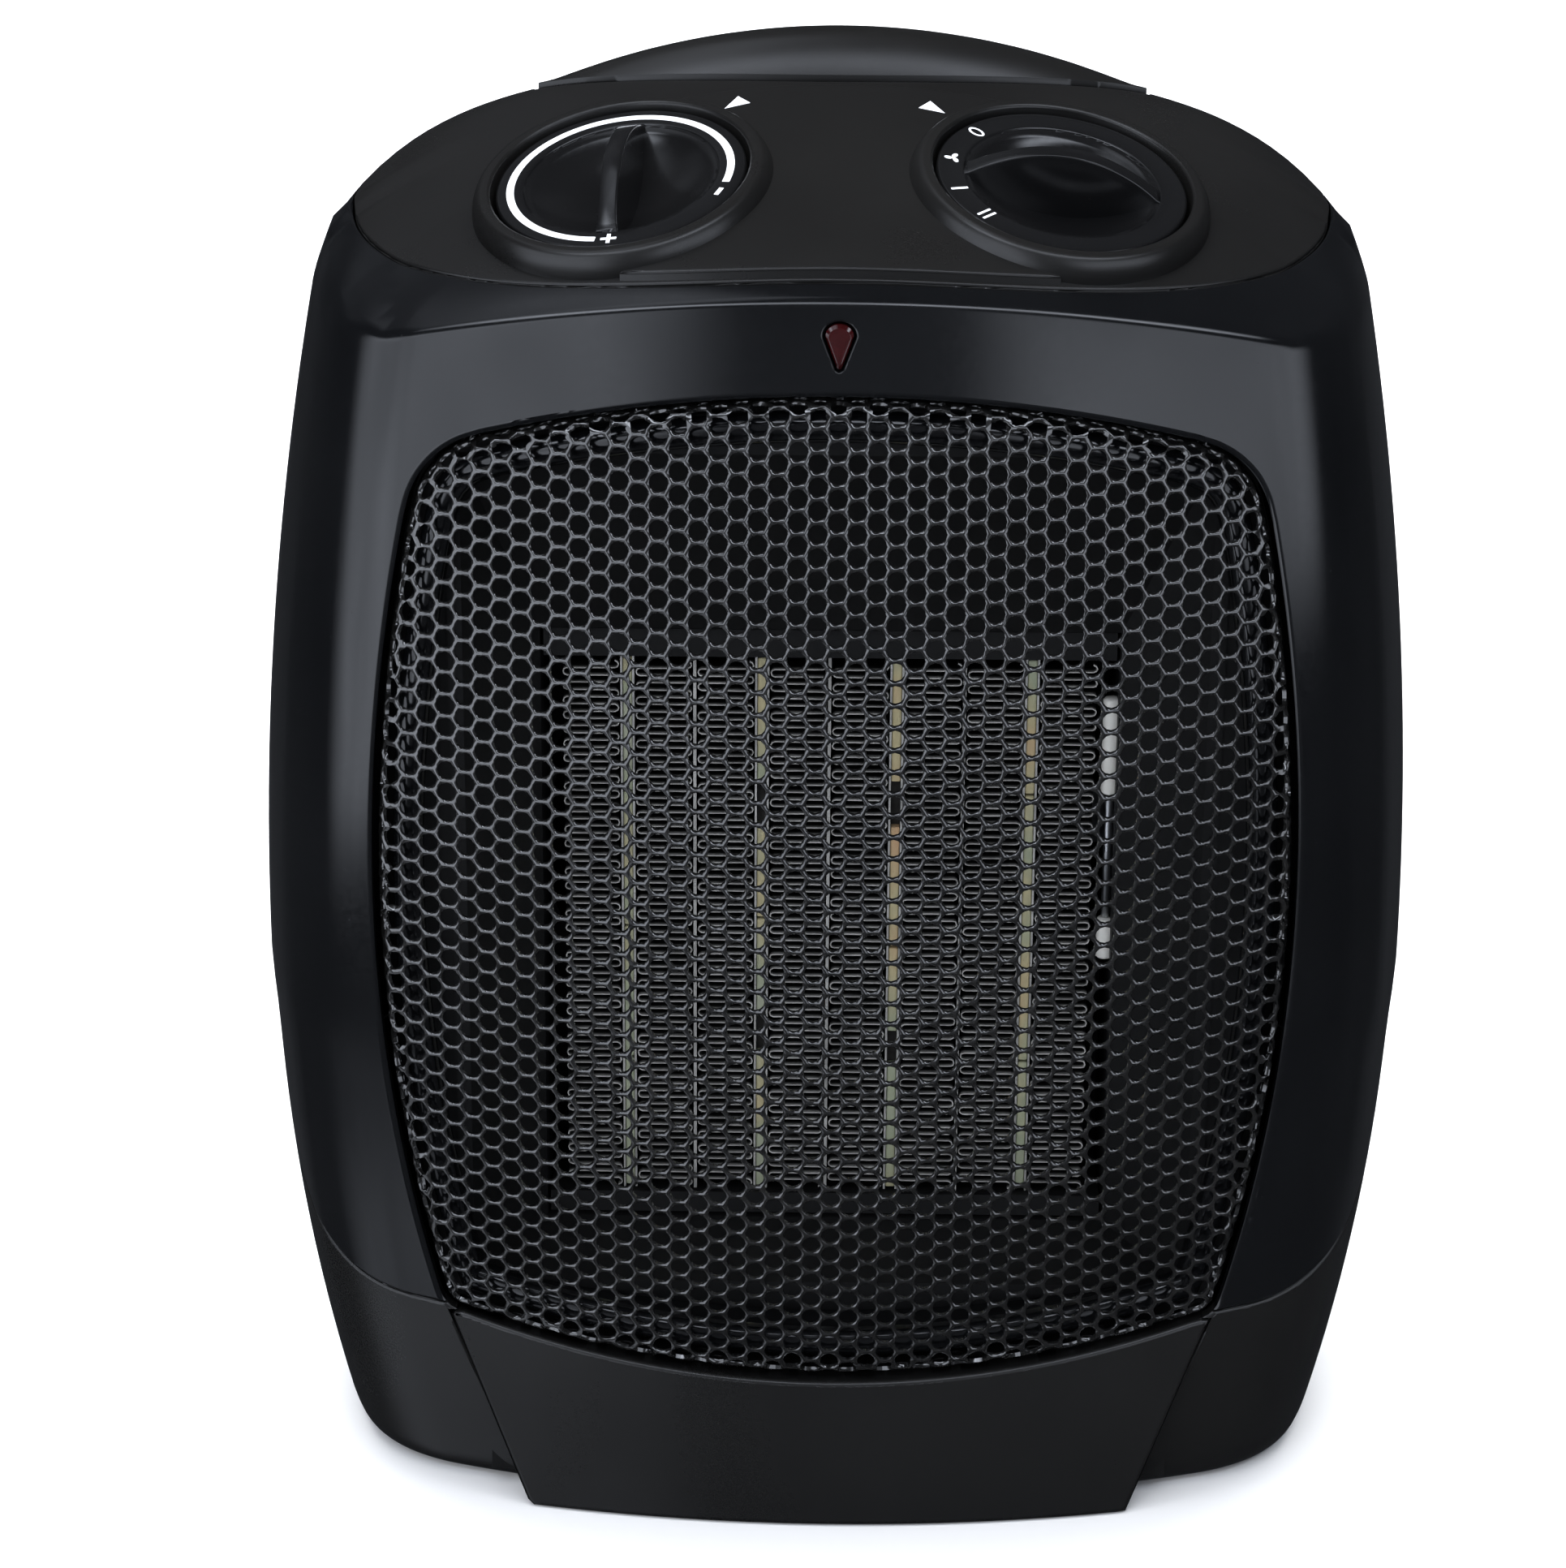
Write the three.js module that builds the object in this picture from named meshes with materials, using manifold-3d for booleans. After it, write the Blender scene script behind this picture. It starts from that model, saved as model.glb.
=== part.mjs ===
// A free-standing ceramic space heater, in millimetres. +Z is up and the front faces -Y.
// The origin is on the floor, under the middle of the case.
import * as THREE from 'three';
import { mergeVertices } from 'three/addons/utils/BufferGeometryUtils.js';
import Module from 'manifold-3d';

const wasm = await Module();
wasm.setup();

// ---------------------------------------------------------------- driving dimensions
const HALF_WIDTH = 96.4; // half of the case's greatest width
const FRONT_Y = -74; // the front wall's foremost point
const REAR_Y = 74; // the rear wall's rearmost point
const WALL = 2.6; // moulded wall thickness
const GAP = 0.3; // seam between two mouldings
const CASE_BOTTOM = 0.9; // underside of the base tray
const TRAY_FLOOR = 6; // inside of the base tray
const PARTING_Y = 6; // the front and rear housings meet here
const CREST_Z = 233.6; // top of the case in its middle plane
const CREST_Y = 5; // the case's crest line
const CREASE_Z = 208.4; // front edge of the brow, in the middle
const ARCH_DROP = 31; // how far the arch falls to the case's side
const ARCH_HALF = 85; // half width of the arch
const ARCH_POWERS = [2.3, 0.45]; // how flat the arch is in the middle, and how full at its ends
const COVER_SEAM_Z = 197; // the top cover's lower edge behind the parting plane
const AZIMUTHS = 40; // steps round the case

// opening of the front grille, seen from the front
const OPENING = { top: 194.4, topRadius: 196, bottom: 26.9, bottomRadius: 232, half: 73.7, waist: 112 };
const OPENING_SIDE_RADIUS = 300;
const OPENING_CORNER = 14;
const GRILLE_SHEET = 1.0;
const GRILLE_BACK_Y = -53;

// apron below the grille
const APRON = { y: -65, back: -52, radius: 225, bottomHalf: 50, topHalf: 63.2, bottom: 0.2, sheet: 2.8 };

// knobs on the sloping panel
const KNOB = { x: 34.5, y: -30.9, radius: 20, bowl: 15.8, height: 7, grip: 5.5, gripWidth: 2.4 };
const KNOB_CLEARANCE = 0.7;
const DIAL_RING = { foot: 25, top: 22.6, rise: 2.4 };
const SHAFT_RADIUS = 3;

// heating element
const ELEMENT = { x: -1, front: -35, depth: 15, bottom: 48, top: 143, pitch: 22, bar: 2.6, plate: 0.8 };
const ELEMENT_BARS = 4;

// fan and its motor
const FAN = { z: 95, radius: 50, hub: 13, front: 2, depth: 17, blades: 7, shaft: 1.6 };
const SHROUD = { inner: 53, outer: 55.2, plate: 56, front: -9.7, rear: 21 };
const MOTOR = { front: 31, rear: 49, half: 25, foot: 62, top: 117, bar: 10, bore: 13, rotor: 12.3 };
const BEARING = { inner: 2.1, outer: 4.5, length: 5, front: 23, rear: 53.5 };
const STRAP = { half: 54, z: 6, front: 24.5, rear: 26.5 };

// ---------------------------------------------------------------- materials
const colours = {
  gloss: [0x101113, 0.18, 0],
  satin: [0x17171a, 0.5, 0],
  steel: [0x9a9ca0, 0.35, 1],
  aluminium: [0xc9ccd0, 0.4, 1],
  ceramic: [0xb9a98c, 0.6, 0],
  white: [0xe8e8e4, 0.5, 0],
  rubber: [0x151515, 0.85, 0],
  copper: [0xa8572a, 0.4, 1],
  brass: [0xc8a24a, 0.35, 1],
  red: [0x5a0c10, 0.15, 0],
  mesh: [0x0e0e10, 0.25, 0.4],
  resin: [0x2a2420, 0.6, 0],
};

const part = new THREE.Group();

function publish(name, solid, finish) {
  const mesh = solid.getMesh();
  const geometry = new THREE.BufferGeometry();
  geometry.setAttribute('position', new THREE.BufferAttribute(mesh.vertProperties, 3));
  geometry.setIndex(new THREE.BufferAttribute(mesh.triVerts, 1));
  geometry.computeVertexNormals();
  const [color, roughness, metalness] = colours[finish];
  const piece = new THREE.Mesh(geometry, new THREE.MeshStandardMaterial({ color, roughness, metalness }));
  piece.name = name;
  part.add(piece);
}

// ---------------------------------------------------------------- solids
function solidOf(geometry, matrix) {
  const bare = geometry.index ? geometry.toNonIndexed() : geometry.clone();
  bare.deleteAttribute('normal');
  bare.deleteAttribute('uv');
  if (matrix) bare.applyMatrix4(matrix);
  const merged = mergeVertices(bare, 1e-4);
  const vertProperties = new Float32Array(merged.attributes.position.array);
  const triVerts = new Uint32Array(merged.index.array);
  return new wasm.Manifold(new wasm.Mesh({ numProp: 3, vertProperties, triVerts }));
}

function place(x, y, z, rx = 0, ry = 0, rz = 0) {
  const turn = new THREE.Quaternion().setFromEuler(new THREE.Euler(rx, ry, rz));
  return new THREE.Matrix4().compose(new THREE.Vector3(x, y, z), turn, new THREE.Vector3(1, 1, 1));
}

// Lays a turned body's axis along +Y at a place in a frontal plane.
const alongY = (x, z) => place(x, 0, z, -Math.PI / 2);

function box(x0, x1, y0, y1, z0, z1) {
  const geometry = new THREE.BoxGeometry(x1 - x0, y1 - y0, z1 - z0);
  return solidOf(geometry, place((x0 + x1) / 2, (y0 + y1) / 2, (z0 + z1) / 2));
}

// A body turned about Z from [radius, height] points, then moved by a matrix.
function turned(profile, sides, matrix) {
  const points = profile.map(([r, z]) => new THREE.Vector2(r, z));
  const upright = new THREE.Matrix4().makeRotationX(Math.PI / 2);
  const geometry = new THREE.LatheGeometry(points, sides).applyMatrix4(upright);
  return solidOf(geometry, matrix);
}

function rod(radius, z0, z1, sides, matrix) {
  return turned([[0, z0], [radius, z0], [radius, z1], [0, z1]], sides, matrix);
}

function pipe(inner, outer, z0, z1, sides, matrix) {
  const ring = [[inner, z0], [outer, z0], [outer, z1], [inner, z1], [inner, z0]];
  return turned(ring, sides, matrix);
}

// A flat outline, extruded along Z from z0 to z1 and moved by a matrix.
function slab(outline, z0, z1, matrix) {
  const shape = new THREE.Shape(outline.map(([x, y]) => new THREE.Vector2(x, y)));
  const geometry = new THREE.ExtrudeGeometry(shape, { depth: z1 - z0, bevelEnabled: false });
  geometry.translate(0, 0, z0);
  return solidOf(geometry, matrix);
}

// Matrices that lay an (x, z) outline in a frontal plane and a (y, z) outline in a side plane.
const FRONTAL = new THREE.Matrix4().makeRotationX(Math.PI / 2);
const LENGTHWISE = new THREE.Matrix4().makeBasis(
  new THREE.Vector3(0, 1, 0),
  new THREE.Vector3(0, 0, 1),
  new THREE.Vector3(1, 0, 0),
);

// An (x, z) outline that runs from y0 back to y1.
function frontalPrism(outline, y0, y1) {
  return slab(outline, -y1, -y0, FRONTAL);
}

// A (y, z) outline that runs from x0 to x1.
function sidePrism(outline, x0, x1) {
  return slab(outline, x0, x1, LENGTHWISE);
}

// A closed skin over equal rings of [x, y, z] points, with a flat fan at each end.
function skin(rings) {
  const count = rings[0].length;
  const middle = (ring) => ring.reduce((sum, p) => sum.map((s, k) => s + p[k] / count), [0, 0, 0]);
  const points = [...rings.flat(), middle(rings[0]), middle(rings.at(-1))];
  const faces = [];
  rings.slice(1).forEach((_, r) => {
    for (let i = 0; i < count; i++) {
      const j = (i + 1) % count;
      const [a, b] = [r * count + i, r * count + j];
      faces.push(a, b, b + count, a, b + count, a + count);
    }
  });
  const [low, high] = [points.length - 2, points.length - 1];
  const last = (rings.length - 1) * count;
  for (let i = 0; i < count; i++) {
    const j = (i + 1) % count;
    faces.push(low, j, i, high, last + i, last + j);
  }
  const geometry = new THREE.BufferGeometry();
  geometry.setAttribute('position', new THREE.Float32BufferAttribute(points.flat(), 3));
  geometry.setIndex(faces);
  return solidOf(geometry);
}

// ---------------------------------------------------------------- the case's surface
// Plan section of the case: tangent arcs from the front middle to the rear middle.
// Each arc has a radius and the direction of the wall's normal where it ends, in degrees.
const PLAN_ARCS = [[200, 21], [30, 72], [112.4, 108], [56.9, 150], [127.7, 180]];
const DEGREE = Math.PI / 180;

function rawPlan(angle) {
  let [x, y, from] = [0, 0, 0];
  for (const [radius, to] of PLAN_ARCS) {
    const end = Math.min(angle, to);
    x += radius * (Math.sin(end * DEGREE) - Math.sin(from * DEGREE));
    y += radius * (Math.cos(from * DEGREE) - Math.cos(end * DEGREE));
    if (angle <= to) break;
    from = to;
  }
  return [x, y];
}

const RAW_HALF = rawPlan(90)[0];
const RAW_DEPTH = rawPlan(180)[1];

// Plan point as fractions: across from -1 to 1, and back from 0 at the front to 1 at the rear.
function plan(angle) {
  const [x, y] = rawPlan(Math.abs(angle));
  return [(Math.sign(angle) * x) / RAW_HALF, y / RAW_DEPTH];
}

// How far back the plan reaches at a fraction across, on its front or its rear half.
function planBack(across, rear) {
  let [low, high] = rear ? [90, 180] : [0, 90];
  for (let i = 0; i < 30; i++) {
    const mid = (low + high) / 2;
    if (plan(mid)[0] < across !== rear) low = mid;
    else high = mid;
  }
  return plan(low)[1];
}

// Half width of the case at a height: widest at the waist, with a soft step in just below it.
const SIDE = { waist: 88, above: 1180, below: 710, step: 0.65, stepReach: 9 };

function sideBow(z) {
  const rise = z - SIDE.waist;
  if (rise > 0) return HALF_WIDTH - rise ** 2 / SIDE.above;
  const step = SIDE.step * (1 - Math.exp(-((rise / SIDE.stepReach) ** 2)));
  return HALF_WIDTH - rise ** 2 / SIDE.below - step;
}

const frontBow = (z) => FRONT_Y + (z > 119 ? (z - 119) ** 2 / 600 : (119 - z) ** 2 / 906);
const rearBow = (z) => REAR_Y - (z > 95 ? (z - 95) ** 2 / 504 : (95 - z) ** 2 / 800);

// Point of the wall in a direction and at a height, moved in by an inset.
function wallPoint(angle, z, inset) {
  const [across, back] = plan(angle);
  const [front, rear] = [frontBow(z) + inset, rearBow(z) - inset];
  return [(sideBow(z) - inset) * across, front + (rear - front) * back, z];
}

// How far the crest falls below its middle at a distance across.
function arch(x) {
  const across = Math.min(Math.abs(x) / ARCH_HALF, 0.9999);
  return ARCH_DROP * (1 - (1 - across ** ARCH_POWERS[0]) ** ARCH_POWERS[1]);
}

const creaseZ = (x, y) =>
  CREASE_Z - Math.min(Math.abs(x), 70) ** 2 / 580 + 0.102 * Math.min(Math.max(y + 50, 0), 55);

const RIM_Z = 205;

function planY(x, rear) {
  const across = Math.min(Math.abs(x) / sideBow(RIM_Z), 0.9999);
  return frontBow(RIM_Z) + (rearBow(RIM_Z) - frontBow(RIM_Z)) * planBack(across, rear);
}

// Height of the top surface: a panel that slopes up to the crest, and a back that falls from it.
function topZ(x, y) {
  const crest = CREST_Z - arch(x);
  const front = planY(x, false);
  const fore = (CREST_Y - y) / (CREST_Y - front);
  const aft = (y - CREST_Y) / Math.max(planY(x, true) - CREST_Y, 12);
  const slope = (creaseZ(x, front) - crest) * (0.846 * fore + 0.154 * Math.max(fore, 0) ** 6);
  const fall = (RIM_Z - crest) * (0.62 * aft + 0.38 * Math.max(aft, 0) ** 3);
  const soft = 1.6;
  return crest - soft * Math.log(Math.exp(-slope / soft) + Math.exp(-fall / soft));
}

// The whole case as one solid, moved in by an inset. Its foot is rounded.
function caseBody(inset, bottom) {
  const angles = Array.from({ length: AZIMUTHS }, (_, i) => ((i + 0.5) / AZIMUTHS) * 360 - 180);
  const rims = angles.map((angle) => {
    let z = RIM_Z;
    for (let i = 0; i < 6; i++) z = creaseZ(...wallPoint(angle, z, 0).slice(0, 2));
    return z - inset;
  });
  const rings = [[0, 4], [2.5, 1.2], [7, 0]].map(([up, tuck]) =>
    angles.map((angle) => wallPoint(angle, bottom + up, inset + tuck)),
  );
  for (const share of [0.18, 0.38, 0.58, 0.78, 0.93]) {
    rings.push(angles.map((angle, i) => wallPoint(angle, bottom + (rims[i] - bottom) * share, inset)));
  }
  const rim = angles.map((angle, i) => wallPoint(angle, rims[i], inset));
  rings.push(rim);
  for (const scale of [0.97, 0.91, 0.81, 0.66, 0.44, 0.18]) {
    rings.push(rim.map(([x, y, z]) => {
      const [u, v] = [x * scale, CREST_Y + (y - CREST_Y) * scale];
      const lift = z - (topZ(x, y) - inset);
      return [u, v, topZ(u, v) - inset + lift * scale ** 8];
    }));
  }
  return skin(rings);
}

// ---------------------------------------------------------------- outlines of the seams
// Grille opening as an (x, z) outline, moved in by an inset. Its upper corners are rounded.
function openingOutline(inset) {
  const half = (z) => OPENING.half - inset - (z - OPENING.waist) ** 2 / (2 * OPENING_SIDE_RADIUS);
  const top = (x) => OPENING.top - inset - x ** 2 / (2 * OPENING.topRadius);
  const bottom = (x) => OPENING.bottom + inset + x ** 2 / (2 * OPENING.bottomRadius);
  const right = [];
  for (let i = 0; i <= 5; i++) {
    const x = (i / 5) * (half(37) - 1.5);
    right.push([x, bottom(x)]);
  }
  for (let i = 0; i <= 8; i++) {
    const z = 38 + (i / 8) * (170 - 38);
    right.push([half(z), z]);
  }
  const [cx, cz] = [half(176) - OPENING_CORNER, top(52) - OPENING_CORNER];
  for (let i = 1; i <= 4; i++) {
    const turn = ((i - 0.5) / 4) * 80 * DEGREE;
    right.push([cx + OPENING_CORNER * Math.cos(turn), cz + OPENING_CORNER * Math.sin(turn)]);
  }
  for (let i = 4; i >= 0; i--) {
    const x = (i / 4) * (cx - 4);
    right.push([x, top(x)]);
  }
  const left = right.slice(1, -1).reverse().map(([x, z]) => [-x, z]);
  return [...right, ...left];
}

// Height of the seam between the base tray and the housings.
const baseSeam = (y) => 36.3 + 13.7 * THREE.MathUtils.smoothstep(y, -58, -28);

function belowBaseSeam(offset) {
  const edge = [];
  for (let i = 0; i <= 12; i++) {
    const y = -58 + i * 2.5;
    edge.push([y, baseSeam(y) + offset]);
  }
  const [front, rear] = [[-120, baseSeam(-120) + offset], [120, baseSeam(120) + offset]];
  return sidePrism([[-120, -20], [120, -20], rear, ...edge.reverse(), front], -130, 130);
}

// Plan region of the top cover, moved in by an inset, from below the crest line upwards.
function coverRegion(inset) {
  const [halfX, halfY, centreY, power] = [79.3 - inset, 55.4 - inset, -2, 2.5];
  const edge = [];
  for (let i = 0; i <= 24; i++) {
    const turn = (180 - (i / 24) * 180) * DEGREE;
    const [c, s] = [Math.cos(turn), Math.sin(turn)];
    const x = halfX * Math.sign(c) * Math.abs(c) ** (2 / power);
    edge.push([x, centreY - halfY * Math.abs(s) ** (2 / power)]);
  }
  const ear = PARTING_Y - 2 + inset;
  const outline = [[-130, 130], [-130, ear], [-83, ear], ...edge, [83, ear], [130, ear], [130, 130]];
  const above = slab(outline, 170, 300);
  return above.subtract(box(-140, 140, PARTING_Y - 20, 140, 150, COVER_SEAM_Z + inset));
}

function apronOutline(inset) {
  const half = (z) => APRON.bottomHalf - inset + ((APRON.topHalf - APRON.bottomHalf) * z) / 34;
  const top = (x) => OPENING.bottom - inset + x ** 2 / (2 * OPENING.bottomRadius);
  const edge = [];
  for (let i = 0; i <= 10; i++) {
    const x = (1 - i / 5) * half(34);
    edge.push([x, top(x)]);
  }
  return [[-half(APRON.bottom), APRON.bottom], [half(APRON.bottom), APRON.bottom], ...edge];
}

// ---------------------------------------------------------------- casings
const outer = caseBody(0, CASE_BOTTOM);
const inner = caseBody(WALL, TRAY_FLOOR);
const shell = outer.subtract(inner);

// Frame of a knob: its origin on the panel, Z along the panel's normal.
function knobFrame(side) {
  const [x, y, step] = [side * KNOB.x, KNOB.y, 2];
  const normal = new THREE.Vector3(
    topZ(x - step, y) - topZ(x + step, y),
    topZ(x, y - step) - topZ(x, y + step),
    2 * step,
  ).normalize();
  const turn = new THREE.Quaternion().setFromUnitVectors(new THREE.Vector3(0, 0, 1), normal);
  const at = new THREE.Vector3(x, y, topZ(x, y));
  return new THREE.Matrix4().compose(at, turn, new THREE.Vector3(1, 1, 1));
}

const leftKnob = knobFrame(-1);
const rightKnob = knobFrame(1);

// Grip recess at the rear, under the handle.
const GRIP = { half: 40, floor: 202, ceiling: 219.5, back: 13, sheet: 2 };
const gripMouth = box(
  -GRIP.half - GRIP.sheet - GAP, GRIP.half + GRIP.sheet + GAP,
  GRIP.back - GRIP.sheet - GAP, 90,
  GRIP.floor - GRIP.sheet - GAP, GRIP.ceiling + GRIP.sheet + GAP,
);
const gripCup = box(
  -GRIP.half - GRIP.sheet, GRIP.half + GRIP.sheet,
  GRIP.back - GRIP.sheet, 90,
  GRIP.floor - GRIP.sheet, GRIP.ceiling + GRIP.sheet,
).subtract(box(-GRIP.half, GRIP.half, GRIP.back, 95, GRIP.floor, GRIP.ceiling)).intersect(outer);

const upper = shell.subtract(belowBaseSeam(GAP / 2));
const opening = frontalPrism(openingOutline(0), -100, -30);
const apronWindow = frontalPrism(apronOutline(-GAP), -100, APRON.back + GAP);
const front = box(-130, 130, -130, PARTING_Y - GAP / 2, 0, 260);
const rear = box(-130, 130, PARTING_Y + GAP / 2, 130, 0, 260);

// Lens seat on the front face
const LENS = { z: 202.4, half: 3, height: 8.2 };

function lensOutline(inset) {
  const [half, top, low] = [LENS.half - inset, LENS.height * 0.37 - inset, -LENS.height * 0.63 + inset * 2];
  const edge = [[0, low]];
  for (let i = 0; i <= 8; i++) {
    const turn = (i / 8) * Math.PI;
    edge.push([half * Math.cos(turn), top * Math.sin(turn)]);
  }
  return edge.map(([x, z]) => [x, z + LENS.z]);
}

const lensSeat = frontalPrism(lensOutline(-GAP), -90, -50);
const frontHousing = upper
  .intersect(front)
  .subtract(coverRegion(-GAP))
  .subtract(opening)
  .subtract(apronWindow)
  .subtract(lensSeat);

// Rear housing with rows of intake slots behind the fan
const SLOTS = { count: 9, pitch: 9.6, height: 4.2, radius: 47 };
let rearHousing = upper.intersect(rear).subtract(coverRegion(-GAP));
for (let i = 0; i < SLOTS.count; i++) {
  const z = FAN.z + (i - (SLOTS.count - 1) / 2) * SLOTS.pitch;
  const half = Math.sqrt(SLOTS.radius ** 2 - (z - FAN.z) ** 2);
  for (const side of [-1, 1]) {
    const [a, b] = [side * 1.8, side * half].sort((p, q) => p - q);
    rearHousing = rearHousing.subtract(box(a, b, 40, 90, z - SLOTS.height / 2, z + SLOTS.height / 2));
  }
}

// Screws that hold the rear housing, in counterbored bosses
const SCREW = { head: 3.7, headHeight: 2.4, shank: 1.5, length: 12, boss: 6, sink: 4.2, depth: 4 };
const SCREWS = [
  ['lower_left', -44, 58], ['lower_right', 44, 58],
  ['upper_left', -44, 172], ['upper_right', 44, 172],
];

function rearWallY(x, z) {
  const back = planBack(Math.abs(x) / sideBow(z), true);
  return frontBow(z) + (rearBow(z) - frontBow(z)) * back;
}

for (const [, x, z] of SCREWS) {
  const y = rearWallY(x, z);
  const seat = y - SCREW.depth;
  rearHousing = rearHousing
    .add(rod(SCREW.boss, seat - 5, y + 4, 16, alongY(x, z)).intersect(outer))
    .subtract(rod(SCREW.sink, seat, y + 10, 16, alongY(x, z)))
    .subtract(rod(SCREW.shank + GAP, seat - 20, y, 12, alongY(x, z)));
}

const topHole = (frame) => rod(KNOB.radius + KNOB_CLEARANCE, -12, 12, 30, frame);
const dialRing = (frame) =>
  turned([[0, -2], [DIAL_RING.foot, -2], [DIAL_RING.foot, 0], [DIAL_RING.top, DIAL_RING.rise],
    [0, DIAL_RING.rise]], 30, frame);
const topCover = upper
  .intersect(coverRegion(0))
  .add(dialRing(leftKnob))
  .add(dialRing(rightKnob))
  .subtract(topHole(leftKnob))
  .subtract(topHole(rightKnob))
  .subtract(gripMouth);

// Base tray, with seats for the feet and a hole for the tip-over plunger
const FEET = [
  ['front_left', -56, -26], ['front_right', 56, -26],
  ['rear_left', -50, 38], ['rear_right', 50, 38],
];
const FOOT = { radius: 8, height: 4, seat: 4.3 };
const TIP = { x: 24, y: 16, radius: 3, travel: 4 };
const GLAND = { z: 26, radius: 6, flange: 8.5, bore: 3.6, boss: 11, face: 69.8 };

let baseTray = shell
  .add(rod(GLAND.boss, GLAND.face - 8, GLAND.face, 24, alongY(0, GLAND.z)))
  .add(box(-57, 57, APRON.back + GAP, APRON.back + GAP + 2, CASE_BOTTOM + 1, OPENING.bottom - 1))
  .intersect(belowBaseSeam(-GAP / 2))
  .subtract(opening)
  .subtract(apronWindow)
  .subtract(rod(TIP.radius + GAP, 0, 12, 16, place(TIP.x, TIP.y, 0)))
  .subtract(rod(GLAND.radius + GAP, 40, 90, 20, alongY(0, GLAND.z)));
for (const [, x, y] of FEET) {
  baseTray = baseTray.subtract(rod(FOOT.radius + GAP, 0, FOOT.seat, 20, place(x, y, 0)));
}

// Apron: a bowed panel with a return along each side
function apronPlan(inset, backY) {
  const edge = [];
  for (let i = 0; i <= 12; i++) {
    const x = -72 + i * 12;
    edge.push([x, APRON.y + inset + x ** 2 / (2 * APRON.radius)]);
  }
  return [...edge, [72, backY], [-72, backY]];
}
const apronDepth = -30;
const apronHollow = frontalPrism(apronOutline(APRON.sheet), -90, apronDepth + 10)
  .add(box(APRON.sheet - APRON.bottomHalf, APRON.bottomHalf - APRON.sheet, -90, apronDepth + 10, -5, 10));
const apronCore = slab(apronPlan(APRON.sheet, apronDepth), -5, 60).intersect(apronHollow);
const frontApron = slab(apronPlan(0, apronDepth), -5, 60)
  .intersect(frontalPrism(apronOutline(0), -90, apronDepth + 10))
  .subtract(apronCore)
  .subtract(box(-80, 80, APRON.back, 0, -10, 80));

publish('front_housing', frontHousing, 'gloss');
publish('rear_housing', rearHousing, 'satin');
publish('top_cover', topCover, 'satin');
publish('base_tray', baseTray, 'satin');
publish('front_apron', frontApron, 'satin');
publish('grip_cup', gripCup, 'satin');

for (const [name, x, y] of FEET) {
  publish('foot_' + name, rod(FOOT.radius, 0, FOOT.height, 20, place(x, y, 0)), 'rubber');
}

// Handle: an arched cap that rises from a bowed line across the panel
const HANDLE = { half: 49, line: -2.5, radius: 162.5, crown: 238.5, archRadius: 122, rear: 33 };

function handleCap() {
  const [columns, rows] = [14, 7];
  const heights = [0, 0.62, 0.93, 1, 0.93, 0.66, 0.3, 0];
  const depths = [0, 0.06, 0.14, 0.24, 0.42, 0.64, 0.84, 1];
  const top = [];
  const under = [];
  for (let c = 0; c <= columns; c++) {
    const x = (-1 + (2 * c) / columns) * (HANDLE.half - 0.2);
    const start = HANDLE.line + x ** 2 / (2 * HANDLE.radius);
    const crown = HANDLE.crown - x ** 2 / (2 * HANDLE.archRadius);
    for (let r = 0; r <= rows; r++) {
      const y = start + depths[r] * (HANDLE.rear - start);
      const seat = topZ(x, y);
      top.push([x, y, seat + 1.2 + Math.max(crown - topZ(x, 3) - 1.2, 0.2) * heights[r]]);
      under.push([x, y, seat - 1.5]);
    }
  }
  const stride = rows + 1;
  const size = top.length;
  const faces = [];
  for (let c = 0; c < columns; c++) {
    for (let r = 0; r < rows; r++) {
      const a = c * stride + r;
      faces.push(a, a + stride, a + stride + 1, a, a + stride + 1, a + 1);
      const b = size + a;
      faces.push(b, b + stride + 1, b + stride, b, b + 1, b + stride + 1);
    }
  }
  const wall = (a, b) => faces.push(a, b, size + b, a, size + b, size + a);
  for (let c = 0; c < columns; c++) {
    wall((c + 1) * stride, c * stride);
    wall(c * stride + rows, (c + 1) * stride + rows);
  }
  for (let r = 0; r < rows; r++) {
    wall(r, r + 1);
    wall(columns * stride + r + 1, columns * stride + r);
  }
  const geometry = new THREE.BufferGeometry();
  geometry.setAttribute('position', new THREE.Float32BufferAttribute([...top, ...under].flat(), 3));
  geometry.setIndex(faces);
  return solidOf(geometry).subtract(caseBody(-GAP, CASE_BOTTOM));
}
publish('handle', handleCap(), 'satin');

// ---------------------------------------------------------------- grille and lens
const dish = caseBody(GRILLE_SHEET, CASE_BOTTOM)
  .intersect(frontalPrism(openingOutline(1.1), -100, GRILLE_BACK_Y));
const dishHollow = caseBody(2 * GRILLE_SHEET, CASE_BOTTOM)
  .intersect(frontalPrism(openingOutline(1.1 + GRILLE_SHEET), -100, GRILLE_BACK_Y + 5));
publish('front_grille', dish.subtract(dishHollow), 'mesh');

const lens = frontalPrism(lensOutline(0), -90, -56).intersect(caseBody(-0.5, CASE_BOTTOM));
publish('indicator_lens', lens, 'red');
publish('neon_lamp', rod(2.6, 0, 14, 12, place(0, -54.5, LENS.z - 1, -Math.PI / 2)), 'white');

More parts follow.
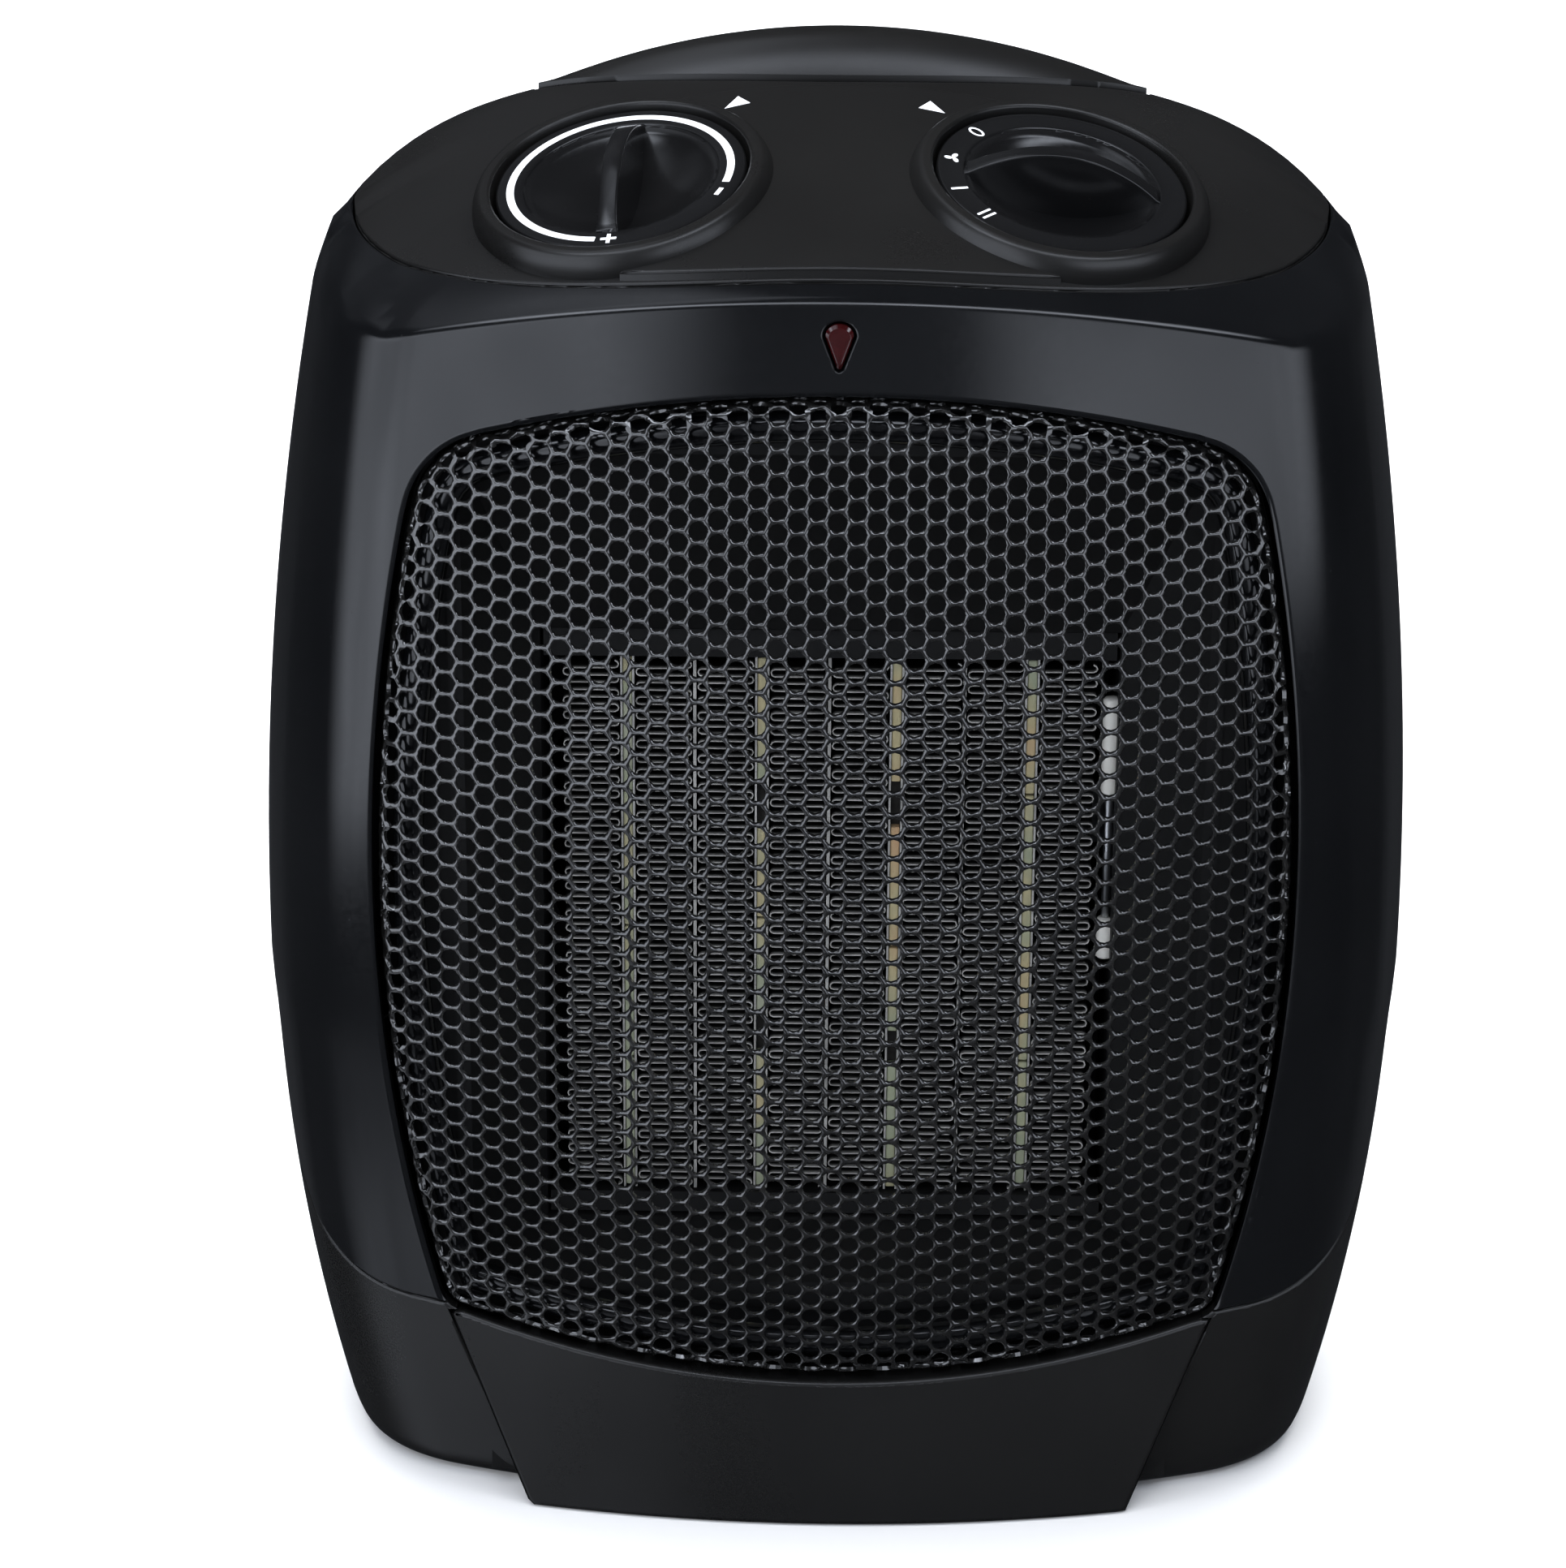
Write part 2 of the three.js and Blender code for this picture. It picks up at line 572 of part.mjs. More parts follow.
// ---------------------------------------------------------------- knobs, shafts and switches
// A dished dial with an arched grip across the bowl. The grip points along the frame's Y, turned by an angle.
function dial(frame, turn) {
  const face = DIAL_RING.rise - 0.9;
  const disc = turned([
    [0, face - 5.5], [8, face - 5.3], [KNOB.bowl - 3.5, face - 3.6], [KNOB.bowl, face],
    [KNOB.radius - 0.6, face], [KNOB.radius, face - 0.7], [KNOB.radius, face - KNOB.height],
    [0, face - KNOB.height - 1],
  ].reverse(), 30);
  const arc = [[-KNOB.bowl, face - 4.5], [KNOB.bowl, face - 4.5]];
  for (let i = 0; i <= 10; i++) {
    const y = KNOB.bowl * (1 - i / 5);
    arc.push([y, face + 0.01 + KNOB.grip * (1 - (y / KNOB.bowl) ** 2)]);
  }
  const grip = sidePrism(arc, -KNOB.gripWidth / 2, KNOB.gripWidth / 2);
  const spin = new THREE.Matrix4().makeRotationZ(turn);
  const whole = disc.add(grip).subtract(rod(SHAFT_RADIUS + GAP, face - 12, face - 6.3, 16));
  return whole.transform(frame.clone().multiply(spin).elements);
}

function spindle(frame) {
  const face = DIAL_RING.rise - 0.9;
  return rod(SHAFT_RADIUS, -22, face - 6.6, 14, frame);
}

publish('thermostat_knob', dial(leftKnob, -12 * DEGREE), 'gloss');
publish('thermostat_shaft', spindle(leftKnob), 'brass');
publish('mode_knob', dial(rightKnob, 90 * DEGREE), 'gloss');
publish('mode_switch_shaft', spindle(rightKnob), 'white');

const socket = (frame) => rod(SHAFT_RADIUS + GAP, -22 - GAP, 0, 14, frame);
const thermostatBody = solidOf(new THREE.BoxGeometry(30, 16, 12), leftKnob.clone().multiply(place(0, 0, -21)))
  .add(rod(5.5, -16, -10, 20, leftKnob))
  .subtract(socket(leftKnob));
const switchBody = solidOf(new THREE.BoxGeometry(22, 22, 16), rightKnob.clone().multiply(place(0, 0, -23)))
  .add(rod(6.5, -16, -10, 20, rightKnob))
  .subtract(socket(rightKnob));
publish('thermostat_body', thermostatBody, 'ceramic');
publish('mode_switch_body', switchBody, 'resin');

// ---------------------------------------------------------------- heating element
const elementBack = ELEMENT.front + ELEMENT.depth;
const finWidth = (ELEMENT.pitch - ELEMENT.bar - ELEMENT.plate) / 2;
const elementLeft = ELEMENT.x - 2 * ELEMENT.pitch;
for (let i = 0; i < ELEMENT_BARS; i++) {
  const centre = elementLeft + (i + 0.5) * ELEMENT.pitch;
  const [low, high] = [centre - ELEMENT.bar / 2, centre + ELEMENT.bar / 2];
  const upright = (x0, x1, recess) =>
    box(x0 + GAP / 2, x1 - GAP / 2, ELEMENT.front + recess, elementBack, ELEMENT.bottom, ELEMENT.top);
  publish('ptc_bar_' + (i + 1), upright(low, high, 0.4), 'ceramic');
  publish('fin_pack_' + (2 * i + 1), upright(low - finWidth, low, 0), 'aluminium');
  publish('fin_pack_' + (2 * i + 2), upright(high, high + finWidth, 0), 'aluminium');
}
for (let i = 1; i < ELEMENT_BARS; i++) {
  const x = elementLeft + i * ELEMENT.pitch;
  publish('separator_plate_' + i,
    box(x - 0.25, x + 0.25, ELEMENT.front, elementBack, ELEMENT.bottom, ELEMENT.top), 'aluminium');
}
// Insulating bars that hold the element at its top and bottom
function elementFrame(name, low, high) {
  const half = 46.5;
  const bar = box(ELEMENT.x - half, ELEMENT.x + half, ELEMENT.front - 1, elementBack + 1, low, high);
  publish(name, bar, 'resin');
}
elementFrame('element_frame_top', ELEMENT.top + GAP, ELEMENT.top + 5);
elementFrame('element_frame_bottom', ELEMENT.bottom - 4, ELEMENT.bottom - GAP);

// ---------------------------------------------------------------- duct
// The duct holds the element and flares forward to the grille. Stations: y, left, right, bottom, top.
const DUCT_SHEET = 1.6;
const DUCT = [[-52, -60, 60, 38.6, 184], [-37, -48, 46, 43.6, 148.4], [-10, -48, 46, 43.6, 148.4]];

function ductBody(grow, reach) {
  const last = DUCT.length - 1;
  return skin(DUCT.map(([y, left, right, low, high], i) => {
    const at = y + (i === 0 ? -reach : i === last ? reach : 0);
    const [l, r, b, t] = [left - grow, right + grow, low - grow, high + grow];
    return [[l, at, b], [l, at, t], [r, at, t], [r, at, b]];
  }));
}
const ductFlange = frontalPrism(openingOutline(0.4), -51.5, -50).subtract(ductBody(DUCT_SHEET - 0.2, 1));
publish('air_duct', ductBody(DUCT_SHEET, 0).add(ductFlange).subtract(ductBody(0, 1)), 'resin');

// ---------------------------------------------------------------- fan
const shroudPlate = box(
  -SHROUD.plate, SHROUD.plate,
  SHROUD.front, SHROUD.front + 1.7,
  FAN.z - 54, FAN.z + 54,
);
const shroud = pipe(SHROUD.inner, SHROUD.outer, SHROUD.front, SHROUD.rear, 40, alongY(0, FAN.z))
  .add(shroudPlate)
  .subtract(rod(SHROUD.inner, -20, 30, 40, alongY(0, FAN.z)));
publish('fan_shroud', shroud, 'resin');

const rearFan = FAN.front + FAN.depth;
let fan = rod(FAN.hub, FAN.front, rearFan, 24, alongY(0, FAN.z));
for (let i = 0; i < FAN.blades; i++) {
  const blade = new THREE.BoxGeometry(FAN.radius - FAN.hub + 1, 1.6, 21);
  blade.applyMatrix4(place((FAN.radius + FAN.hub - 1.5) / 2, 0, 0, 52 * DEGREE));
  const spin = place(0, (FAN.front + rearFan) / 2, FAN.z, 0, (i / FAN.blades) * 2 * Math.PI);
  fan = fan.add(solidOf(blade, spin));
}
publish('fan_blade', fan.subtract(rod(FAN.shaft + GAP, 0, 40, 14, alongY(0, FAN.z))), 'resin');
publish('fan_shaft', rod(FAN.shaft, FAN.front - 1, 62, 12, alongY(0, FAN.z)), 'steel');

// ---------------------------------------------------------------- shaded-pole motor
publish('motor_rotor',
  pipe(FAN.shaft + GAP, MOTOR.rotor, MOTOR.front, MOTOR.rear, 28, alongY(0, FAN.z)), 'aluminium');
const barTop = MOTOR.foot + MOTOR.bar;
const stator = box(-MOTOR.half, MOTOR.half, MOTOR.front, MOTOR.rear, MOTOR.foot, MOTOR.top)
  .subtract(box(-17, 17, 20, 60, barTop, barTop + 7))
  .subtract(rod(MOTOR.bore, 20, 60, 28, alongY(0, FAN.z)));
publish('motor_stator', stator, 'steel');
const coil = box(-14, 14, MOTOR.front - 5.5, MOTOR.rear + 5.5, MOTOR.foot - 6, barTop + 6.5)
  .subtract(box(-20, 20, MOTOR.front - GAP, MOTOR.rear + GAP, MOTOR.foot - GAP, barTop + GAP));
publish('motor_coil', coil, 'copper');

const bearingSeat = rod(BEARING.outer + GAP, 0, 70, 20, alongY(0, FAN.z));
const [strapLow, strapHigh] = [FAN.z - STRAP.z, FAN.z + STRAP.z];
let bracket = box(-STRAP.half, STRAP.half, STRAP.front, STRAP.rear, strapLow, strapHigh);
let bridge = box(-24, 24, 55, 57, strapLow, strapHigh);
for (const side of [-1, 1]) {
  const [a, b] = [side * 19, side * 24].sort((p, q) => p - q);
  const [c, d] = [side * 53.3, side * 55].sort((p, q) => p - q);
  bracket = bracket
    .add(box(a, b, STRAP.rear - 0.5, MOTOR.front - GAP, strapLow, strapHigh))
    .add(box(c, d, SHROUD.rear + GAP, STRAP.rear, strapLow, strapHigh));
  bridge = bridge.add(box(a, b, MOTOR.rear + GAP, 56, strapLow, strapHigh));
}
publish('motor_bracket', bracket.subtract(bearingSeat), 'steel');
publish('motor_rear_bridge', bridge.subtract(bearingSeat), 'steel');
for (const [name, y] of [['bearing_front', BEARING.front], ['bearing_rear', BEARING.rear]]) {
  publish(name, pipe(BEARING.inner, BEARING.outer, y, y + BEARING.length, 20, alongY(0, FAN.z)), 'brass');
}

// ---------------------------------------------------------------- safety parts and wiring
const cutoffX = DUCT[1][2] - 0.4;
const cutoff = rod(1.1, 88, 137, 10, place(cutoffX - 1.4, ELEMENT.front + 4, 0))
  .intersect(box(0, 100, -100, 0, 90, 136));
publish('thermal_cutoff', cutoff, 'white');

const tipSeat = place(TIP.x, TIP.y, 0);
const tipBody = box(TIP.x - 10, TIP.x + 10, TIP.y - 9, TIP.y + 9, TRAY_FLOOR + GAP, 28)
  .subtract(rod(5.8, 0, 16, 20, tipSeat));
publish('tip_switch_body', tipBody, 'resin');
const plunger = [
  [0, 0], [TIP.radius, 0], [TIP.radius, 10.6], [5, 10.6],
  [5, 12], [2, 12], [2, 14.5], [0, 14.5],
];
publish('tip_switch_plunger', turned(plunger, 16, tipSeat), 'white');

const gland = [
  [GLAND.bore, GLAND.face - 10], [GLAND.radius, GLAND.face - 10], [GLAND.radius, GLAND.face + GAP],
  [GLAND.flange, GLAND.face + GAP], [GLAND.flange - 0.8, GLAND.face + 2.8], [GLAND.bore, GLAND.face + 2.8],
  [GLAND.bore, GLAND.face - 10],
];
publish('cord_gland', turned(gland, 24, alongY(0, GLAND.z)), 'rubber');

for (const [name, x, z] of SCREWS) {
  const seat = rearWallY(x, z) - SCREW.depth;
  const profile = [
    [0, seat - SCREW.length], [SCREW.shank, seat - SCREW.length], [SCREW.shank, seat + GAP],
    [SCREW.head, seat + GAP], [SCREW.head - 0.5, seat + SCREW.headHeight], [0, seat + SCREW.headHeight + 0.5],
  ];
  publish('screw_' + name, turned(profile, 12, alongY(x, z)), 'steel');
}

publish('terminal_block', box(-50, -24, 26, 38, TRAY_FLOOR + GAP, 20), 'white');

function lead(points) {
  const path = new THREE.CatmullRomCurve3(points.map((p) => new THREE.Vector3(...p)));
  const circle = new THREE.Shape();
  circle.absarc(0, 0, 1.3, 0, 2 * Math.PI);
  return solidOf(new THREE.ExtrudeGeometry(circle, { steps: 16, curveSegments: 4, extrudePath: path }));
}
publish('thermostat_lead',
  lead([[-38, 32, 22], [-44, 34, 30], [-64, 24, 60], [-74, 8, 110], [-68, -6, 165], [-52, -20, 194]]), 'red');
publish('switch_lead',
  lead([[34.8, 16, 20], [44, 20, 26], [64, 22, 60], [74, 8, 110], [66, -6, 160], [48, -16, 190]]), 'resin');

export default part;
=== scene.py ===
"""A free-standing ceramic space heater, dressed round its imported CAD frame.

The case is a barrel-shaped shell. Its wall follows a plan of tangent arcs that is
scaled by three bows over the height, and its top is a panel that slopes up to a crest.
Lengths in the code are in millimetres, in the frame of the CAD model, and become
metres only where a mesh is made.
"""

import math

import bmesh
import bpy
import numpy as np
from mathutils import Matrix, Vector
from mathutils.bvhtree import BVHTree
from mathutils.geometry import delaunay_2d_cdt


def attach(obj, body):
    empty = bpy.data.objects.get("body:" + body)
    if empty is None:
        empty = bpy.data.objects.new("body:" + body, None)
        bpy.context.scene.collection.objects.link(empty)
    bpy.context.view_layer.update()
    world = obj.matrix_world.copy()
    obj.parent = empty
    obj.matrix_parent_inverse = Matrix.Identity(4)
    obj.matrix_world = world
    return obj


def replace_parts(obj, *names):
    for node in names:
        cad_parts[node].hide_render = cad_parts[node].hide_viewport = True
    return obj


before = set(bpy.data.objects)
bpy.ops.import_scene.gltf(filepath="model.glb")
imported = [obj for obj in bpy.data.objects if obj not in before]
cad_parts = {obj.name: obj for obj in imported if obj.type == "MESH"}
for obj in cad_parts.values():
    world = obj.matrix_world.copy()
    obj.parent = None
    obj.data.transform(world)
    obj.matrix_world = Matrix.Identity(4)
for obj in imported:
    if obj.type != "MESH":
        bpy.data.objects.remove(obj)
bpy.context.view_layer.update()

MM = 0.001
DETAIL = 1.0  # share of the full mesh density

# ------------------------------------------------------------------ driving dimensions
WALL = 2.6  # moulded wall
SEAM = 0.36  # gap between two mouldings
EDGE = 0.45  # rounding along a seam
CASE_BOTTOM = 0.9
TRAY_FLOOR = 6.0
PARTING_Y = 6.0
COVER_SEAM_Z = 197.0
RIM_Z = 205.0
CREST_Y = 5.0
CREST_Z = 233.6

PLAN_ARCS = ((200.0, 21), (30.0, 72), (112.4, 108), (56.9, 150), (127.7, 180))  # radius, end of arc

# The wall's bows over the height: where each is widest, how far out it is there, and the squares of
# the heights above and below it over which it draws in by 1 mm.
SIDE_BOW = (88, 96.4, 1180, 710)
FRONT_BOW = (119, 74, 600, 906)
REAR_BOW = (95, 74, 504, 800)
STEP_IN, STEP_HEIGHT = 0.65, 9  # the sides step in a little just below their widest place

# The top: its arch across (drop, half width, two powers) and its crease where the panel meets the front.
ARCH_DROP, ARCH_HALF, ARCH_POWERS = 31, 85, (2.3, 0.45)
CREASE_Z, CREASE_BOW, CREASE_SLOPE = 208.4, 580, 0.102
PANEL_CURVE, BACK_CURVE = 0.154, 0.38  # share of the fall that comes late, towards the edge
CREST_SOFT = 1.6  # rounding of the crest

# The case's foot and the brow where its wall meets the panel.
FOOT_TUCK, FOOT_RISE = 1.8, 4.5
BROW_FRONT, BROW_SIDE = 0.9, 1.6  # rounding in front, and how much more there is at the sides


# ------------------------------------------------------------------ the case's surface
def raw_plan(angle):
    """Point of the unscaled plan where the wall's normal has this angle from the front, in degrees."""
    x, y, start = 0.0, 0.0, 0
    for radius, end in PLAN_ARCS:
        a, b = np.radians(np.clip(angle, start, end)), math.radians(start)
        x = x + radius * (np.sin(a) - math.sin(b))
        y = y + radius * (math.cos(b) - np.cos(a))
        start = end
    return x, y


PLAN_STEPS = np.linspace(0, 180, 7201)
RAW_X, RAW_Y = raw_plan(PLAN_STEPS)
RAW_HALF, RAW_DEPTH = RAW_X[3600], RAW_Y[-1]


def plan(angle):
    """Plan point as shares: across from -1 to 1, and back from 0 to 1."""
    x, y = raw_plan(np.abs(angle))
    return np.sign(angle) * x / RAW_HALF, y / RAW_DEPTH


def plan_back(across, rear):
    """How far back the plan lies at a share across, on its front or its rear half."""
    half = slice(3600, None) if rear else slice(0, 3601)
    xs, ys = RAW_X[half] / RAW_HALF, RAW_Y[half] / RAW_DEPTH
    if rear:
        xs, ys = xs[::-1], ys[::-1]
    return np.interp(np.minimum(np.abs(across), 1), xs, ys)


def side_bow(z):
    widest, reach, above, below = SIDE_BOW
    rise = np.asarray(z, float) - widest
    step_in = STEP_IN * (1 - np.exp(-(rise / STEP_HEIGHT) ** 2))
    return reach - np.where(rise > 0, rise**2 / above, rise**2 / below + step_in)


def depth_bow(z, widest, reach, above, below):
    return reach - np.where(z > widest, (z - widest) ** 2 / above, (widest - z) ** 2 / below)


def front_bow(z):
    return -depth_bow(z, *FRONT_BOW)


def rear_bow(z):
    return depth_bow(z, *REAR_BOW)


def wall_point(angle, z, inset=0.0):
    across, back = plan(angle)
    z = np.broadcast_to(np.asarray(z, float), np.shape(across))
    front, rear = front_bow(z) + inset, rear_bow(z) - inset
    return zipped((side_bow(z) - inset) * across, front + (rear - front) * back, z)


def wall_y(x, z, rear=False):
    """Where the front or rear wall lies behind a point of a frontal view."""
    x, z = np.asarray(x, float), np.asarray(z, float)
    return front_bow(z) + (rear_bow(z) - front_bow(z)) * plan_back(x / side_bow(z), rear)


def arch(x):
    inner, outer = ARCH_POWERS
    return ARCH_DROP * (1 - (1 - np.minimum(np.abs(x) / ARCH_HALF, 0.9999) ** inner) ** outer)


def crease_z(x, y):
    return CREASE_Z - np.minimum(np.abs(x), 70) ** 2 / CREASE_BOW + CREASE_SLOPE * np.clip(y + 50, 0, 55)


def plan_y(x, rear):
    return wall_y(x, np.full(np.shape(x), RIM_Z), rear)


def top_z(x, y):
    """Height of the top surface: a panel that slopes up to the crest, and a back that falls from it."""
    x, y = np.asarray(x, float), np.asarray(y, float)
    crest = CREST_Z - arch(x)
    front = plan_y(x, False)
    fore = (CREST_Y - y) / (CREST_Y - front)
    aft = (y - CREST_Y) / np.maximum(plan_y(x, True) - CREST_Y, 12)
    late = PANEL_CURVE * np.maximum(fore, 0) ** 6
    slope = (crease_z(x, front) - crest) * ((1 - PANEL_CURVE) * fore + late)
    late = BACK_CURVE * np.maximum(aft, 0) ** 3
    fall = (RIM_Z - crest) * ((1 - BACK_CURVE) * aft + late)
    return crest - CREST_SOFT * np.log(np.exp(-slope / CREST_SOFT) + np.exp(-fall / CREST_SOFT))


def zipped(*values):
    """Arrays of one shape, side by side along a new last axis."""
    return np.stack(values, -1)


def unit(v):
    return v / np.linalg.norm(v, axis=-1, keepdims=True)


def on_front(outline, behind=0.0, rear=False):
    """An outline of a frontal view laid on the front or rear wall, or a little behind it."""
    return np.column_stack([outline[:, 0], wall_y(*outline.T, rear) + behind, outline[:, 1]])


def on_top(outline, lift=0.0):
    """An outline of a plan view laid on the top surface, or a little above it."""
    return np.column_stack([outline, top_z(*outline.T) + lift])


def side_angle(y, z):
    """The plan's angle where the wall lies at a depth y, at a height z."""
    depth = (y - front_bow(z)) / (rear_bow(z) - front_bow(z))
    return np.interp(depth, RAW_Y / RAW_DEPTH, PLAN_STEPS)


def side_line(heights, y, side):
    """Points on the wall at one side, at a depth y."""
    return wall_point(side * side_angle(y, heights), heights)


# ------------------------------------------------------------------ mesh tools
def add_object(name, points, faces, smooth=True):
    mesh = bpy.data.meshes.new(name)
    mesh.from_pydata((np.asarray(points, float) * MM).tolist(), [], [tuple(map(int, f)) for f in faces])
    mesh.polygons.foreach_set("use_smooth", [smooth] * len(mesh.polygons))
    mesh.update()
    obj = bpy.data.objects.new(name, mesh)
    bpy.context.scene.collection.objects.link(obj)
    return obj


def rework(mesh, work):
    """Changes a mesh by a function of its bmesh."""
    bm = bmesh.new()
    bm.from_mesh(mesh)
    work(bm)
    bm.to_mesh(mesh)
    bm.free()


def face_outwards(obj):
    """Turns a closed mesh's faces out."""
    rework(obj.data, lambda bm: bmesh.ops.recalc_face_normals(bm, faces=bm.faces))
    return obj


def smooth_below(obj, angle):
    """Shades obj smooth across edges that bend by less than an angle in degrees."""
    obj.data.set_sharp_from_angle(angle=math.radians(angle))
    return obj


def drop(*objects):
    for obj in objects:
        bpy.data.objects.remove(obj)


def grid_faces(rows, columns, wrap):
    """Quads over rows of equal length, closed round if wrap."""
    r = np.arange(rows - 1)[:, None]
    c = np.arange(columns if wrap else columns - 1)[None, :]
    a, b = r * columns + c, r * columns + (c + 1) % columns
    return zipped(a, b, b + columns, a + columns).reshape(-1, 4)


def skin(name, rings):
    """A closed body over rings of points, with an end cap at each."""
    rings = np.asarray(rings, float)
    rows, columns = rings.shape[:2]
    faces = grid_faces(rows, columns, True).tolist()
    points = rings.reshape(-1, 3)
    for row, turn in ((0, -1), (rows - 1, 1)):
        middle = len(points)
        points = np.vstack([points, rings[row].mean(0)])
        for c in range(columns):
            edge = [row * columns + c, row * columns + (c + 1) % columns]
            faces.append([middle, *edge[::turn]])
    return face_outwards(add_object(name, points, faces))


def prism(name, outline, axis, low, high):
    """An outline in the two other axes, extruded along x, y or z."""
    outline = np.asarray(outline, float)
    n = len(outline)
    ends = [np.insert(outline, axis, level, axis=1) for level in (low, high)]
    i = np.arange(n)
    j = (i + 1) % n
    sides = zipped(i, j, j + n, i + n).tolist()
    faces = sides + [list(range(n))[::-1], list(range(n, 2 * n))]
    return face_outwards(add_object(name, np.vstack(ends), faces, smooth=False))


def block(name, x0, x1, y0, y1, z0, z1):
    return prism(name, [(x0, y0), (x1, y0), (x1, y1), (x0, y1)], 2, z0, z1)


def turned(name, profile, sides, matrix=None):
    """A body turned about Z from (radius, height) points, moved by a matrix in millimetres."""
    turn = np.arange(sides) / sides * 2 * np.pi
    rings = [zipped(r * np.cos(turn), r * np.sin(turn), np.full(sides, h)) for r, h in profile]
    closed = profile[0] == profile[-1]
    if closed:
        faces = grid_faces(len(rings), sides, True)
        faces = np.where(faces >= (len(rings) - 1) * sides, faces - (len(rings) - 1) * sides, faces)
        obj = face_outwards(add_object(name, np.vstack(rings[:-1]), faces))
    else:
        obj = skin(name, rings)
    if matrix is not None:
        obj.data.transform(in_metres(matrix))
    return obj


def in_metres(matrix):
    moved = matrix.copy()
    moved.translation = moved.translation * MM
    return moved


def sweep(name, path, side, normal, section, closed):
    """A section of (sideways, outwards) points, swept along a path with those directions."""
    rings = path[:, None] + side[:, None] * section[None, :, :1] + normal[:, None] * section[None, :, 1:]
    rows, columns = rings.shape[:2]
    if not closed:
        return skin(name, rings)
    faces = grid_faces(rows + 1, columns, True) % (rows * columns)
    return face_outwards(add_object(name, rings.reshape(-1, 3), faces))


def cusp(radius, gap):
    """Section that rounds both sides of a seam: two quarter arcs that meet in the gap."""
    turn = np.linspace(0, np.pi / 2, 6)
    reach = radius + gap / 2
    right = zipped(reach - radius * np.sin(turn), -radius + radius * np.cos(turn))
    left = right[::-1] * (-1, 1)
    top = [(-reach, 1.5), (reach, 1.5)]
    return np.vstack([right, left, top])


def seam(name, points, normals, closed=False, radius=EDGE, gap=SEAM):
    """Cutter that rounds the edges along a line on the surface."""
    if closed:
        along = np.roll(points, -1, 0) - np.roll(points, 1, 0)
    else:
        along = np.gradient(points, axis=0)
    side = unit(np.cross(unit(along), normals))
    return sweep(name, points, side, normals, cusp(radius, gap), closed)


def boolean(obj, operation, *tools):
    """Joins obj with the tools, or cuts it by them, by the Manifold solver. The tools are used up."""
    for tool in tools:
        step = obj.modifiers.new("cut", "BOOLEAN")
        step.operation = operation
        step.solver = "MANIFOLD"
        step.object = tool
    bpy.context.view_layer.update()
    solid = obj.evaluated_get(bpy.context.evaluated_depsgraph_get())
    mesh = bpy.data.meshes.new_from_object(solid)
    obj.modifiers.clear()
    old = obj.data
    obj.data = mesh
    bpy.data.meshes.remove(old)
    drop(*tools)
    return obj


def copy_of(obj, name):
    twin = obj.copy()
    twin.data = obj.data.copy()
    twin.name = name
    bpy.context.scene.collection.objects.link(twin)
    return twin


